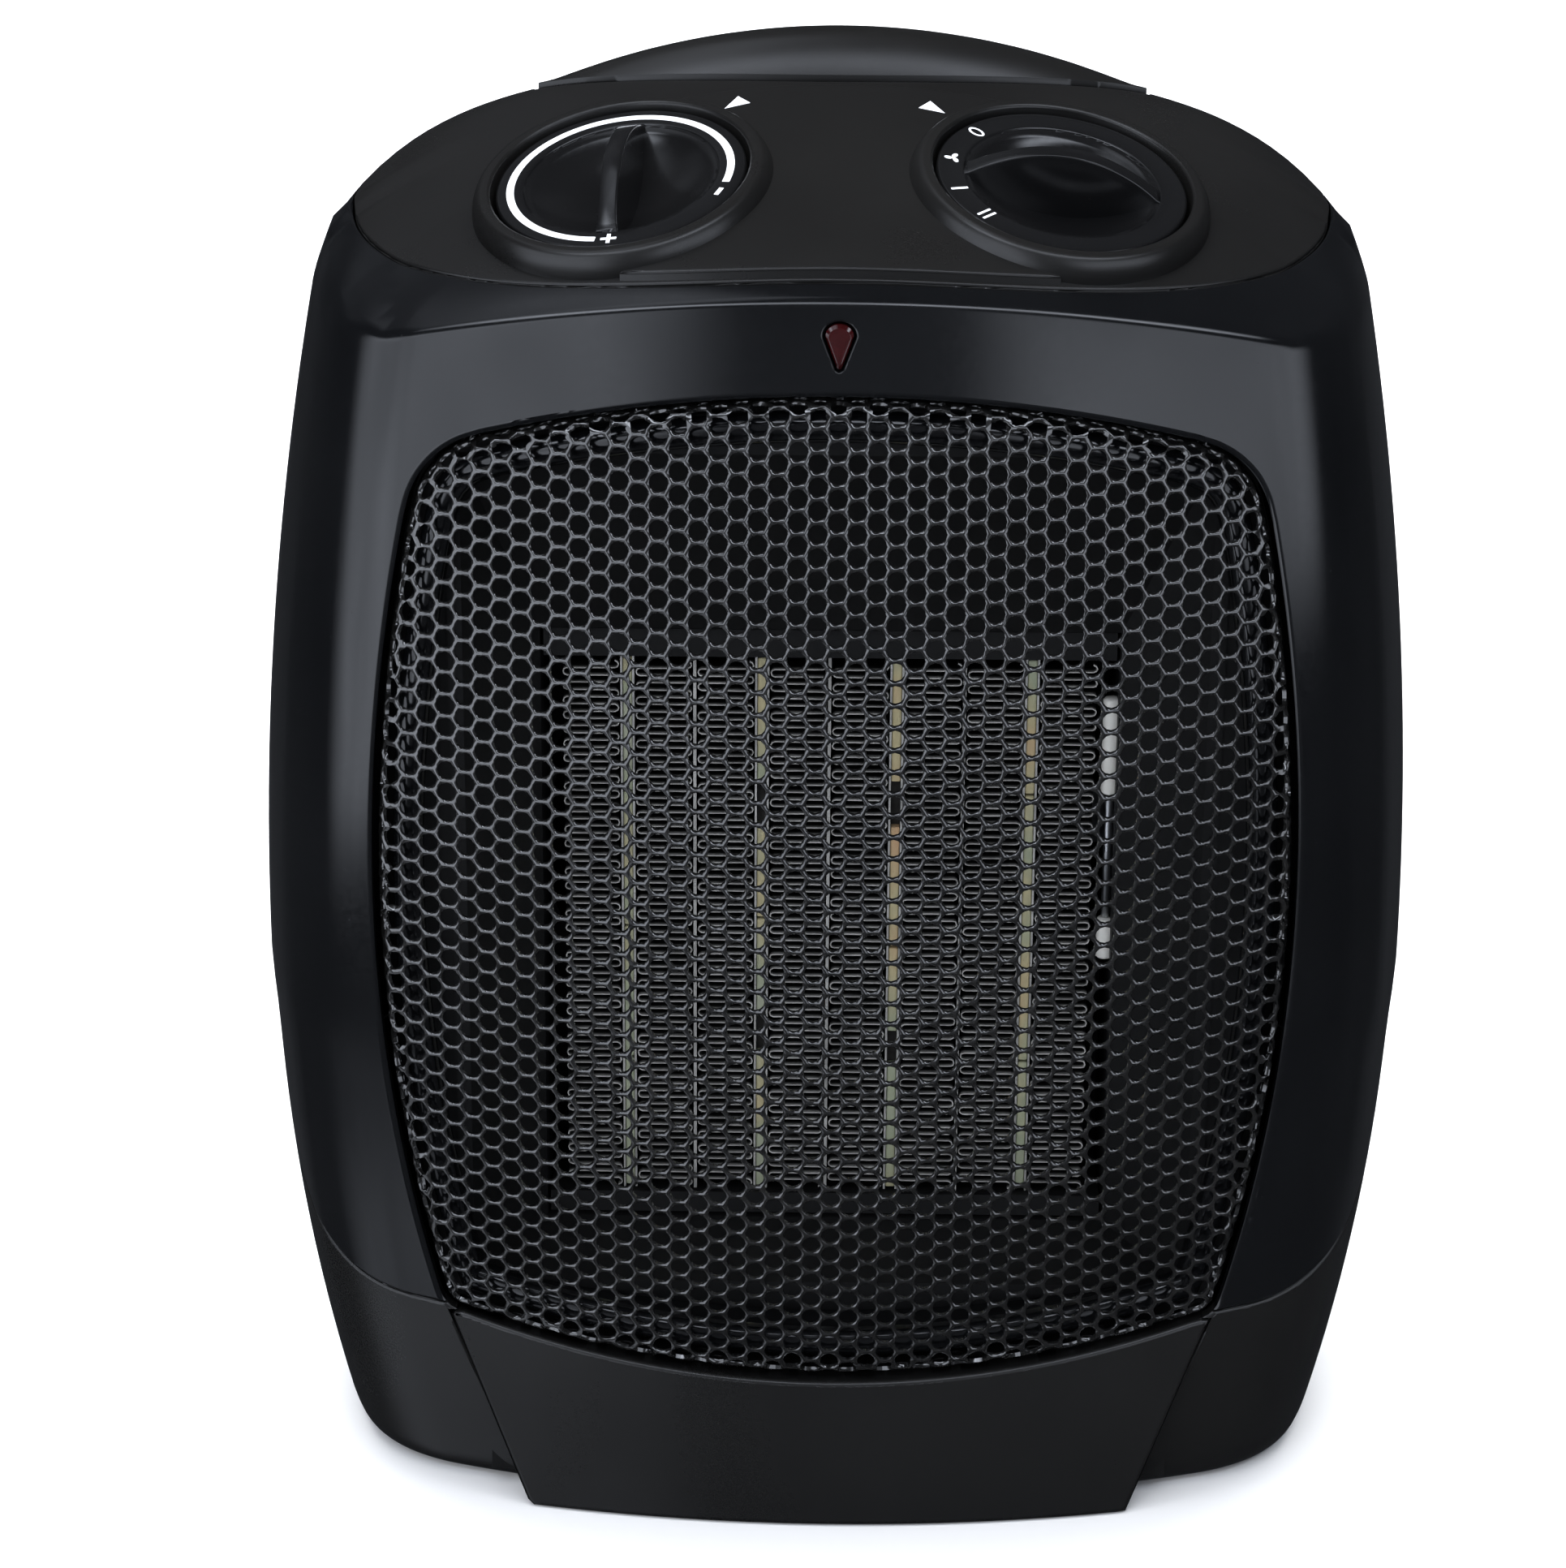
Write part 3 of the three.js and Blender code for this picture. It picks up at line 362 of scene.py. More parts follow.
class Shading:
    """The smooth normals of surfaces before they were cut, kept to shade what is left of them."""

    CLOSE = 0.03 * MM  # how near a cut surface lies to the one that it came from
    ALIKE = 0.8  # least cosine between their directions

    def __init__(self):
        self.co, self.triangles, self.normals, self.owner = [], [], [], []
        self.tree = None

    def add(self, obj, flip=False, angle=40):
        mesh = obj.data.copy()
        rework(mesh, lambda bm: bmesh.ops.triangulate(bm, faces=bm.faces))
        mesh.set_sharp_from_angle(angle=math.radians(angle))
        co, corners = read(mesh.vertices, "co"), read_ints(mesh.loops, "vertex_index")
        normals = read(mesh.corner_normals, "vector").reshape(-1, 3, 3) * (-1 if flip else 1)
        start = sum(len(c) for c in self.co)
        self.co.append(co)
        self.triangles.append(corners.reshape(-1, 3) + start)
        self.normals.append(normals)
        self.owner.append(np.full(len(normals), len(self.owner)))
        self.tree = None
        bpy.data.meshes.remove(mesh)
        return obj

    def build(self):
        if self.tree is not None:
            return
        self.all_co, self.all_triangles = np.vstack(self.co), np.vstack(self.triangles)
        self.all_normals, self.all_owner = np.vstack(self.normals), np.concatenate(self.owner)
        self.tree = BVHTree.FromPolygons(self.all_co.tolist(), self.all_triangles.tolist())

    def normal(self, point, index):
        """The smooth normal at a point of one triangle."""
        a, b, c = self.all_co[self.all_triangles[index]]
        u, v, w = b - a, c - a, np.array(point) - a
        uu, uv, vv, wu, wv = u @ u, u @ v, v @ v, w @ u, w @ v
        scale = uu * vv - uv * uv
        s, t = ((vv * wu - uv * wv) / scale, (uu * wv - uv * wu) / scale) if scale > 0 else (0.3, 0.3)
        n = self.all_normals[index]
        return n[0] * (1 - s - t) + n[1] * s + n[2] * t

    def snap(self, points):
        """Points moved onto the surface, with its normals there."""
        self.build()
        near = [self.tree.find_nearest(Vector(p) * MM) for p in np.asarray(points, float)]
        normals = np.array([self.normal(place, index) for place, _, index, _ in near])
        return np.array([place[:] for place, _, _, _ in near]) / MM, unit(normals)

    def shade(self, obj, angle=35):
        """Gives each corner of obj the normal of the surface that its face came from."""
        self.build()
        mesh = obj.data
        mesh.polygons.foreach_set("use_smooth", [True] * len(mesh.polygons))
        mesh.set_sharp_from_angle(angle=math.radians(angle))
        normals = read(mesh.corner_normals, "vector")
        corners = read_ints(mesh.loops, "vertex_index")
        known = {}
        for face in mesh.polygons:
            best, owner = self.ALIKE, None
            out = np.array(face.normal)
            for place, _, index, _ in self.tree.find_nearest_range(face.center, self.CLOSE):
                match = self.normal(place, index) @ out
                if match > best:
                    best, owner = match, self.all_owner[index]
            if owner is None:
                continue
            for loop in face.loop_indices:
                key = (corners[loop], owner)
                if key not in known:
                    known[key] = self.owned_normal(mesh.vertices[key[0]].co, owner)
                if known[key] is not None:
                    normals[loop] = known[key]
        lengths = np.linalg.norm(normals, axis=1, keepdims=True)
        mesh.normals_split_custom_set((normals / np.where(lengths > 0, lengths, 1)).tolist())
        return obj

    def owned_normal(self, point, owner):
        near = [(d, p, i) for p, _, i, d in self.tree.find_nearest_range(point, self.CLOSE)
                if self.all_owner[i] == owner]
        if not near:
            return None
        _, place, index = min(near, key=lambda found: found[0])
        return self.normal(place, index)


def read(items, attribute):
    values = np.zeros(len(items) * 3)
    items.foreach_get(attribute, values)
    return values.reshape(-1, 3)


def read_ints(items, attribute):
    values = np.zeros(len(items), int)
    items.foreach_get(attribute, values)
    return values


# ------------------------------------------------------------------ the case as one solid
def case_body(name, inset=0.0, bottom=CASE_BOTTOM, azimuths=360, rounded=True):
    """The whole case, moved in by an inset. Its foot and the brow round the panel are rounded."""
    count = int(azimuths * DETAIL)
    angles = (np.arange(count) + 0.5) / count * 360 - 180
    rim = np.full(count, RIM_Z)
    for _ in range(8):
        here = wall_point(angles, rim)
        rim = crease_z(here[:, 0], here[:, 1])
    rim = rim - inset
    rings = []
    for turn in np.linspace(0.15, 1, 7):
        tuck = FOOT_TUCK * (1 - math.sin(turn * math.pi / 2))
        rise = FOOT_RISE * (1 - math.cos(turn * math.pi / 2))
        rings.append(wall_point(angles, bottom + rise, inset + tuck))
    # the brow is crisp in front and softens round the sides
    leg = BROW_FRONT + BROW_SIDE * np.clip((np.abs(angles) - 12) / 60, 0, 1) ** 1.3
    wall_end = rim - leg
    for share in np.linspace(0, 1, int(44 * DETAIL))[1:]:
        z = bottom + FOOT_RISE + (wall_end - bottom - FOOT_RISE) * share
        rings.append(wall_point(angles, z, inset))
    edge = wall_point(angles, rim, inset)
    reach = np.hypot(edge[:, 0], edge[:, 1] - CREST_Y)
    lift = rim - (top_z(edge[:, 0], edge[:, 1]) - inset)

    def top_ring(scale):
        x, y = edge[:, 0] * scale, CREST_Y + (edge[:, 1] - CREST_Y) * scale
        return zipped(x, y, top_z(x, y) - inset + lift * scale**8)

    begin = 1 - leg / reach
    lower, upper = rings[-1], top_ring(begin)
    if rounded:
        for t in np.linspace(0, 1, 9)[1:-1]:
            rings.append((1 - t) ** 2 * lower + 2 * t * (1 - t) * edge + t**2 * upper)
    else:
        rings.append(edge)
    steps = int(34 * DETAIL)
    for k in range(steps):
        rings.append(top_ring(begin * (1 - k / steps)))
    return skin(name, rings)


# ------------------------------------------------------------------ outlines of the openings
OPENING_TOP, OPENING_BOTTOM, OPENING_HALF, OPENING_WAIST = 194.4, 26.9, 73.7, 112.0
TOP_BOW, BOTTOM_BOW, JAMB_BOW = 392, 464, 600  # squares of the ways over which each edge bows by 1 mm
UPPER_CORNER, LOWER_CORNER = 15.5, 4.5


def opening_top(x):
    return OPENING_TOP - x**2 / TOP_BOW


def opening_bottom(x):
    return OPENING_BOTTOM + x**2 / BOTTOM_BOW


def opening_half(z):
    return OPENING_HALF - (z - OPENING_WAIST) ** 2 / JAMB_BOW


def rounded_corner(before, corner, after, radius, steps):
    """Points of an arc of a radius that joins two edges at a corner."""
    a, b = unit(before - corner), unit(after - corner)
    half = math.acos(float(np.clip(a @ b, -1, 1))) / 2
    centre = corner + unit(a + b) * radius / math.sin(half)
    start, end = (corner + leg * radius / math.tan(half) - centre for leg in (a, b))
    first, last = math.atan2(start[1], start[0]), math.atan2(end[1], end[0])
    turn = (last - first + math.pi) % (2 * math.pi) - math.pi
    t = first + turn * np.linspace(0, 1, steps)
    return centre + radius * zipped(np.cos(t), np.sin(t))


def meet(low, high, gap):
    """Where gap(z) falls to nothing between two heights."""
    for _ in range(40):
        middle = (low + high) / 2
        low, high = (middle, high) if gap(middle) > 0 else (low, middle)
    return low


def opening_outline(spacing):
    """The grille's opening as closed (x, z) points at an even spacing, counterclockwise from the bottom."""
    z_top = meet(150, 194, lambda z: opening_top(opening_half(z)) - z)
    z_low = meet(60, 27, lambda z: z - opening_bottom(opening_half(z)))
    top, low = np.array([opening_half(z_top), z_top]), np.array([opening_half(z_low), z_low])
    below = np.array([opening_half(z_top - 14), z_top - 14])
    beside = np.array([top[0] - 14, opening_top(top[0] - 14)])
    upper = rounded_corner(below, top, beside, UPPER_CORNER, 24)
    lower = rounded_corner(np.array([low[0] - 5, opening_bottom(low[0] - 5)]), low,
                           np.array([opening_half(z_low + 5), z_low + 5]), LOWER_CORNER, 10)
    xs = np.linspace(0, lower[0][0], 60)
    zs = np.linspace(lower[-1][1], upper[0][1], 100)
    back = np.linspace(upper[-1][0], 0, 60)
    right = np.vstack([
        zipped(xs, opening_bottom(xs))[:-1], lower,
        zipped(opening_half(zs), zs)[1:-1], upper,
        zipped(back, opening_top(back))[1:],
    ])
    ring = np.vstack([right, right[::-1][1:-1] * (-1, 1)])
    return evenly(ring, spacing)


def evenly(ring, spacing):
    """A closed outline as points at an even spacing."""
    loop = np.vstack([ring, ring[:1]])
    run = np.concatenate([[0], np.cumsum(np.linalg.norm(np.diff(loop, axis=0), axis=1))])
    at = np.linspace(0, run[-1], int(run[-1] / spacing) + 1)[:-1]
    return np.stack([np.interp(at, run, loop[:, k]) for k in range(loop.shape[1])], -1)


def outline_normals(ring):
    """Outward directions of a counterclockwise outline."""
    along = unit(np.roll(ring, -1, 0) - np.roll(ring, 1, 0))
    return zipped(along[:, 1], -along[:, 0])


def offset(ring, distance):
    return ring + outline_normals(ring) * distance


BASE_SEAM_LOW, BASE_SEAM_STEP = 36.3, 13.7  # height in front, and how much higher it runs behind
BASE_SEAM_FROM, BASE_SEAM_RUN = -58, 30  # depth where it starts to climb, and over what length


def base_seam_z(y):
    t = np.clip((np.asarray(y, float) - BASE_SEAM_FROM) / BASE_SEAM_RUN, 0, 1)
    return BASE_SEAM_LOW + BASE_SEAM_STEP * t * t * (3 - 2 * t)


COVER_HALF, COVER_DEPTH, COVER_Y, COVER_POWER = 79.3, 55.4, -2, 0.8


def cover_line(offset_by=0.0):
    """Plan of the top cover's front edge, from its left ear to its right ear."""
    turn = np.linspace(math.pi, 0, 120)
    c, s = np.cos(turn), np.sin(turn)
    x = (COVER_HALF - offset_by) * np.sign(c) * np.abs(c) ** COVER_POWER
    y = COVER_Y - (COVER_DEPTH - offset_by) * np.abs(s) ** COVER_POWER
    return zipped(x, y)


EAR_X, EAR_Y = 83.0, 4.0


# ------------------------------------------------------------------ knobs' places
KNOB_X, KNOB_Y = 34.5, -30.9


def knob_matrix(side):
    """Frame of a knob: its origin on the panel, Z along the panel's normal."""
    x, y, step = side * KNOB_X, KNOB_Y, 2.0
    slope_x = float(top_z(x - step, y) - top_z(x + step, y))
    slope_y = float(top_z(x, y - step) - top_z(x, y + step))
    turn = Vector((0, 0, 1)).rotation_difference(Vector((slope_x, slope_y, 2 * step)))
    return Matrix.Translation((x, y, float(top_z(x, y)))) @ turn.to_matrix().to_4x4()


KNOBS = {"left": knob_matrix(-1), "right": knob_matrix(1)}
KNOB_RADIUS, KNOB_HOLE = 20.0, 20.7
RING_HEIGHT = 2.4
FACE = 1.5  # the knob's rim above the panel


# ------------------------------------------------------------------ casings
def surface_seam(name, points, shading, **shape):
    return seam(name, *shading.snap(points), **shape)


def cover_seam_path():
    """The front edge of the top cover, its ears, and the way down to its rear skirt."""
    line = cover_line()
    ear = np.linspace(EAR_X, 86.6, 5)
    flat = np.vstack([line, [[81.2, 1.0]], zipped(ear, np.full(5, EAR_Y))])
    top = on_top(flat)
    down = side_line(np.linspace(201, COVER_SEAM_Z, 4), EAR_Y, 1)
    right = np.vstack([top[len(line) // 2:], down])
    return np.vstack([right[::-1] * (-1, 1, 1), right[1:]])


def parting_path(side):
    return side_line(np.linspace(COVER_SEAM_Z + 2, 48, 60), PARTING_Y, side)


def skirt_path():
    """The top cover's lower edge round the rear, from one parting line to the other."""
    first = float(side_angle(PARTING_Y, COVER_SEAM_Z))
    angles = np.linspace(first - 1, 361 - first, 150)
    return wall_point(np.where(angles > 180, angles - 360, angles), COVER_SEAM_Z)


def base_path():
    """The seam between the base and the housings, right round the case."""
    count = 260
    angles = np.linspace(-180, 180, count + 1)[:-1]
    z = np.full(count, 45.0)
    for _ in range(20):
        z = base_seam_z(wall_point(angles, z)[:, 1])
    return wall_point(angles, z)


APRON_Y, APRON_BACK = -65.0, -52.0
APRON_LOW, APRON_HIGH, APRON_TOP_Z, APRON_FOOT = 50.0, 63.2, 34.0, 0.2


def apron_half(z):
    return APRON_LOW + (APRON_HIGH - APRON_LOW) * z / APRON_TOP_Z


def apron_outline(grow=0.0):
    """Apron as (x, z) points: its upper edge follows the opening's lower edge."""
    xs = np.linspace(apron_half(APRON_TOP_Z) + grow, -apron_half(APRON_TOP_Z) - grow, 60)
    upper = zipped(xs, opening_bottom(np.minimum(np.abs(xs), 61.0)) + grow)
    low = apron_half(APRON_FOOT) + grow
    xs = np.linspace(-low, low, 40)
    lower = zipped(xs, np.full(40, APRON_FOOT))
    left = np.linspace(upper[-1], lower[0], 14)[1:-1]
    return np.vstack([upper, left, lower, (left * (-1, 1))[::-1]])


def apron_face(x):
    return APRON_Y + np.asarray(x, float) ** 2 / 450


def plateau_outline():
    """Plan of the raised band between the two dials."""
    half = 35
    front = cover_line(0.9)
    front = front[np.abs(front[:, 0]) < half]
    xs = np.linspace(half, -half, 30)
    rear = zipped(xs, -5.6 - 3.8 * (xs / 30) ** 2)
    return np.vstack([front, rear])


DIAL_RING = [
    (0, -7), (24.4, -7), (24.3, -2.2), (24.1, -0.7), (23.85, 0.3), (23.5, 1.1), (23.1, 1.75),
    (22.7, 2.15), (22.3, 2.34), (21.9, RING_HEIGHT), (21.2, RING_HEIGHT), (0, RING_HEIGHT),
]


def knob_hole(name, matrix):
    top = RING_HEIGHT
    hole = [(0, -16), (KNOB_HOLE, -16), (KNOB_HOLE, top - 0.5), (KNOB_HOLE + 0.15, top - 0.18),
            (KNOB_HOLE + 0.5, top + 0.02), (KNOB_HOLE + 0.6, top + 3), (0, top + 3)]
    return turned(name, hole, int(120 * DETAIL), matrix)


def rounded_rectangle(x0, x1, z0, z1, radius, steps=8):
    corners = [np.array(c, float) for c in ((x0, z0), (x1, z0), (x1, z1), (x0, z1))]
    return np.vstack([rounded_corner(corners[k - 1], corners[k], corners[(k + 1) % 4], radius, steps)
                      for k in range(4)])


GRIP_MOUTH = rounded_rectangle(-42.3, 42.3, 199.7, 221.8, 5)
GRIP_FRONT_Y = 10.7
SLOT_ROWS, SLOT_PITCH, SLOT_HEIGHT, SLOT_REACH, SLOT_SPINE = 9, 9.6, 4.2, 47.0, 1.8
FAN_Z = 95.0
SCREW_PLACES = {"lower_left": (-44, 58), "lower_right": (44, 58),
                "upper_left": (-44, 172), "upper_right": (44, 172)}
GLAND_Z, GLAND_FACE = 26.0, 69.8
FEET = {"front_left": (-42, -34), "front_right": (42, -34), "rear_left": (-50, 38), "rear_right": (50, 38)}
TIP_X, TIP_Y = 24.0, 16.0


def slot_outlines():
    """Two rows of round-ended intake slots, one each side of a spine, within a circle."""
    outlines = []
    for row in range(SLOT_ROWS):
        z = FAN_Z + (row - (SLOT_ROWS - 1) / 2) * SLOT_PITCH
        reach = math.sqrt(SLOT_REACH**2 - (z - FAN_Z) ** 2)
        half = SLOT_HEIGHT / 2
        right = rounded_rectangle(SLOT_SPINE, reach, z - half, z + half, half * 0.98, 7)
        outlines += [right, (right * (-1, 1))[::-1]]
    return outlines


HANDLE_HALF, HANDLE_FRONT, HANDLE_REAR, HANDLE_CROWN = 50.0, -2.5, 33.0, 238.5


def handle_line(x):
    """The handle's front edge on the panel."""
    return HANDLE_FRONT + x**2 / 325


def handle_plan(grow):
    """Plan of the handle: a bowed front line, two short ends and a straight rear."""
    xs = np.linspace(-HANDLE_HALF - grow, HANDLE_HALF + grow, 60)
    front = zipped(xs, handle_line(xs) - grow)
    ys = np.linspace(front[-1, 1], HANDLE_REAR + grow, 16)[1:]
    right = zipped(np.full(15, HANDLE_HALF + grow), ys)
    rear = zipped(xs[::-1], np.full(60, HANDLE_REAR + grow))[1:]
    left = (right * (-1, 1))[::-1][1:-1]
    return np.vstack([front, right, rear, left])


LENS_Z, LENS_HALF, LENS_RISE, LENS_FOOT = 203.3, 2.2, 1.8, 4.9


def lens_outline(grow):
    """A drop with a low round top and a blunt foot, as (x, z)."""
    turn = np.linspace(0, math.pi, 20)
    top = zipped((LENS_HALF + grow) * np.cos(turn), (LENS_RISE + grow) * np.sin(turn))
    blunt = 0.45 + grow * 0.7
    turn = np.linspace(1.15 * math.pi, 1.85 * math.pi, 9)
    foot = blunt * zipped(np.cos(turn), np.sin(turn)) - (0, LENS_FOOT - 0.45)
    return evenly(np.vstack([top, foot]) + (0, LENS_Z), 0.35)


def make_casings():
    """The four shells, cut from one case so that their surfaces run on across every seam.

    All seams are cut first, as round-edged grooves; the shells are then parted along them.
    """
    case = case_body("case")
    skin_of_case, sources = Shading(), Shading()
    skin_of_case.add(case)
    sources.add(case)
    seams = []

    def cut_seam(name, points, closed=False, **shape):
        seams.append(sources.add(surface_seam(name, points, skin_of_case, closed=closed, **shape), flip=True))

    opening = opening_outline(1.2)
    window = apron_outline(SEAM)
    cut_seam("cover_seam", cover_seam_path())
    cut_seam("skirt_seam", skirt_path())
    cut_seam("parting_left", parting_path(-1))
    cut_seam("parting_right", parting_path(1))
    cut_seam("base_seam", base_path(), closed=True)
    cut_seam("opening_edge", on_front(opening), closed=True, radius=1.0, gap=0)
    sides = window[(window[:, 1] < 35) & (window[:, 1] > 4) & (np.abs(window[:, 0]) > 48)]
    for side in (-1, 1):
        cut_seam(f"apron_edge_{side}", on_front(sides[sides[:, 0] * side > 0]), gap=0.1)
    seat = lens_outline(0.4)
    cut_seam("lens_edge", on_front(seat), closed=True, radius=0.3, gap=0)
    for k, slot in enumerate(slot_outlines()):
        cut_seam(f"slot_edge_{k}", on_front(slot, rear=True), closed=True, gap=0.02)
    mouth = []
    for x, z in evenly(GRIP_MOUTH, 1.5):
        hit = skin_of_case.tree.ray_cast(Vector((x, 90, z)) * MM, Vector((0, -1, 0)))[0]
        mouth.append((x, hit[1] / MM, z))
    cut_seam("grip_edge", mouth, closed=True, gap=0.02, radius=0.8)

    # raised band and rings round the dials
    raised = case_body("raised", -1.0)
    raised_skin = Shading()
    raised_skin.add(raised)
    sources.add(raised)
    band = plateau_outline()
    band_edge = surface_seam("band_edge", on_top(band, 1), raised_skin, closed=True, radius=0.55, gap=0)
    sources.add(band_edge, flip=True)
    boolean(raised, "INTERSECT", prism("band", band, 2, 190, 260))
    boolean(raised, "DIFFERENCE", band_edge)
    rings = [turned(f"ring_{side}", DIAL_RING, int(160 * DETAIL), m) for side, m in KNOBS.items()]
    holes = [knob_hole(f"hole_{side}", m) for side, m in KNOBS.items()]
    for ring in rings:
        sources.add(ring)
    for hole in holes:
        sources.add(hole, flip=True)
    rim = on_top(handle_plan(0.3))
    handle_groove = surface_seam("handle_groove", rim, skin_of_case, closed=True, radius=0.35, gap=0.5)
    sources.add(handle_groove, flip=True)

    hollow = case_body("hollow", WALL, TRAY_FLOOR, 160, rounded=False)
    boolean(case, "DIFFERENCE", hollow, *seams)

    def cover_space(name, grow):
        """The room of the top cover, grown by a gap: behind its front edge and above its skirt."""
        ear = EAR_Y - grow
        outline = np.vstack([[[-130, 130], [-130, ear], [-EAR_X, ear]], cover_line(-grow),
                             [[EAR_X, ear], [130, ear], [130, 130]]])
        skirt = block("skirt", -140, 140, PARTING_Y - 20, 140, 150, COVER_SEAM_Z - grow)
        return boolean(prism(name, outline, 2, 160, 300), "DIFFERENCE", skirt)

    def under_base_seam(name, lift):
        ys = np.linspace(BASE_SEAM_FROM, BASE_SEAM_FROM + BASE_SEAM_RUN, 40)
        edge = zipped(ys, base_seam_z(ys) + lift)
        top = BASE_SEAM_LOW + BASE_SEAM_STEP + lift
        side = np.vstack([[[-120, -20], [120, -20], [120, top]], edge[::-1], [[-120, BASE_SEAM_LOW + lift]]])
        return prism(name, side, 0, -130, 130)

    def plug(name, radius, depth, sides, x, y):
        profile = [(0, 0), (radius, 0), (radius, depth), (0, depth)]
        return turned(name, profile, sides, Matrix.Translation((x, y, 0)))

    tray = copy_of(case, "base_tray_shell")
    boolean(tray, "UNION", prism_along_y("gland_boss", 11.0, 0, GLAND_Z, GLAND_FACE - 8, GLAND_FACE),
            block("closing_wall", -57, 57, APRON_BACK + 0.3, APRON_BACK + 2.3, 3, OPENING_BOTTOM - 1))
    boolean(tray, "INTERSECT", under_base_seam("below", -SEAM / 2))
    boolean(tray, "DIFFERENCE", prism("window", window, 1, -100, APRON_BACK + 0.3),
            prism("mouth", opening, 1, -100, -30),
            prism_along_y("gland_hole", 6.3, 0, GLAND_Z, 40, 90))
    boolean(tray, "DIFFERENCE", *[plug(f"seat_{k}", 8.3, 4.3, 48, x, y) for k, (x, y) in FEET.items()],
            plug("tip_hole", 3.3, 12, 32, TIP_X, TIP_Y))

    boolean(case, "DIFFERENCE", under_base_seam("below", SEAM / 2))
    cover = copy_of(case, "top_cover_shell")
    boolean(cover, "UNION", raised, *rings)
    boolean(cover, "INTERSECT", cover_space("cover_space", 0))
    boolean(cover, "DIFFERENCE", *holes, handle_groove,
            prism("grip_mouth", GRIP_MOUTH, 1, GRIP_FRONT_Y, 90))

    boolean(case, "DIFFERENCE", cover_space("cover_gap", SEAM))
    rear = copy_of(case, "rear_housing_shell")
    boolean(rear, "DIFFERENCE", block("front_half", -130, 130, -130, PARTING_Y + SEAM / 2, -5, 260))
    bosses, sinks = [], []
    for place, (x, z) in SCREW_PLACES.items():
        y = float(wall_y(x, z, rear=True))
        bosses.append(prism_along_y(f"boss_{place}", 6, x, z, y - 9, y - 0.6))
        sinks.append(prism_along_y(f"sink_{place}", 4.2, x, z, y - 4, y + 10))
    boolean(rear, "UNION", *bosses)
    boolean(rear, "DIFFERENCE", *sinks,
            *[prism(f"slot_{k}", slot, 1, 40, 95) for k, slot in enumerate(slot_outlines())])

    front = case
    front.name = "front_housing_shell"
    boolean(front, "DIFFERENCE", block("rear_half", -130, 130, PARTING_Y - SEAM / 2, 130, -5, 260),
            prism("mouth", opening, 1, -100, -30),
            prism("window", window, 1, -100, APRON_BACK + 0.3),
            prism("lens_seat", lens_outline(0.4), 1, -90, -50))
    for shell in (front, rear, cover, tray):
        sources.shade(shell)
    return front, rear, cover, tray


def prism_along_y(name, radius, x, z, low, high, sides=48):
    turn = np.arange(sides) / sides * 2 * math.pi
    outline = zipped(x + radius * np.cos(turn), z + radius * np.sin(turn))
    return prism(name, outline, 1, low, high)


# ------------------------------------------------------------------ handle
def make_handle():
    """An arched cap whose front leans back from a bowed line across the panel."""
    columns, rows = int(120 * DETAIL), int(48 * DETAIL)
    share = (1 - np.cos(np.linspace(0, 1, rows + 1) * math.pi)) / 2
    crown_at = 0.2
    front_rise = 1 - np.clip(1 - share / crown_at, 0, 1) ** 2.3
    rear_fall = 1 - np.clip((share - crown_at) / (1 - crown_at), 0, 1) ** 2
    x = np.linspace(-HANDLE_HALF, HANDLE_HALF, columns + 1)
    start = handle_line(x)
    y = start[:, None] + share[None] * (HANDLE_REAR - start)[:, None]
    across = np.broadcast_to(x[:, None], y.shape)
    seat = top_z(across, y)
    lip, sunk = 0.7, 0.9
    crown = HANDLE_CROWN - x**2 / 244 - top_z(x, 3.0) - lip
    top = seat + lip + np.maximum(crown, 0.05)[:, None] * (front_rise * rear_fall)[None]
    upper, lower = (zipped(across, y, z) for z in (top, seat - sunk))
    count, stride = upper.shape[0] * upper.shape[1], rows + 1
    quads = grid_faces(columns + 1, stride, False)
    faces = quads.tolist() + (quads[:, ::-1] + count).tolist()
    ids = np.arange(count).reshape(columns + 1, stride)
    rim = np.concatenate([ids[:, 0], ids[-1, 1:], ids[::-1, -1][1:], ids[0, ::-1][1:-1]])
    after = np.roll(rim, -1)
    faces += zipped(rim, rim + count, after + count, after).tolist()
    points = np.vstack([upper.reshape(-1, 3), lower.reshape(-1, 3)])
    handle = face_outwards(add_object("handle_cap", points, faces))
    return soften(handle, 0.3, 3, angle=60)


# ------------------------------------------------------------------ trim
def make_apron():
    """The bowed panel below the grille, hollow behind and open below."""
    xs = np.linspace(-72, 72, 97)

    def plan_prism(name, inset):
        front = zipped(xs, apron_face(xs) + inset)
        return prism(name, np.vstack([front, [[72, -30], [-72, -30]]]), 2, -5, 60)

    sources = Shading()
    panel = plan_prism("front_apron_panel", 0)
    outline = evenly(apron_outline(), 1.6)
    rim = prism("rim", outline, 1, -90, APRON_BACK)
    edge = np.column_stack([outline[:, 0], apron_face(outline[:, 0]), outline[:, 1]])
    out = unit(np.column_stack([outline[:, 0] / 225, np.full(len(outline), -1.0), np.zeros(len(outline))]))
    rounding = seam("rounding", edge, out, closed=True, radius=0.8, gap=0)
    for source, flip in ((panel, False), (rim, False), (rounding, True)):
        sources.add(source, flip=flip)
    boolean(panel, "INTERSECT", rim)
    core = plan_prism("core", WALL)
    inner = offset(outline, -WALL)
    boolean(core, "INTERSECT", prism("core_rim", inner, 1, -90, -20))
    opened = plan_prism("opened", WALL)
    boolean(opened, "INTERSECT", block("below", -46, 46, -90, -20, -5, 10))
    boolean(panel, "DIFFERENCE", rounding, core, opened)
    sources.shade(panel)
    return panel


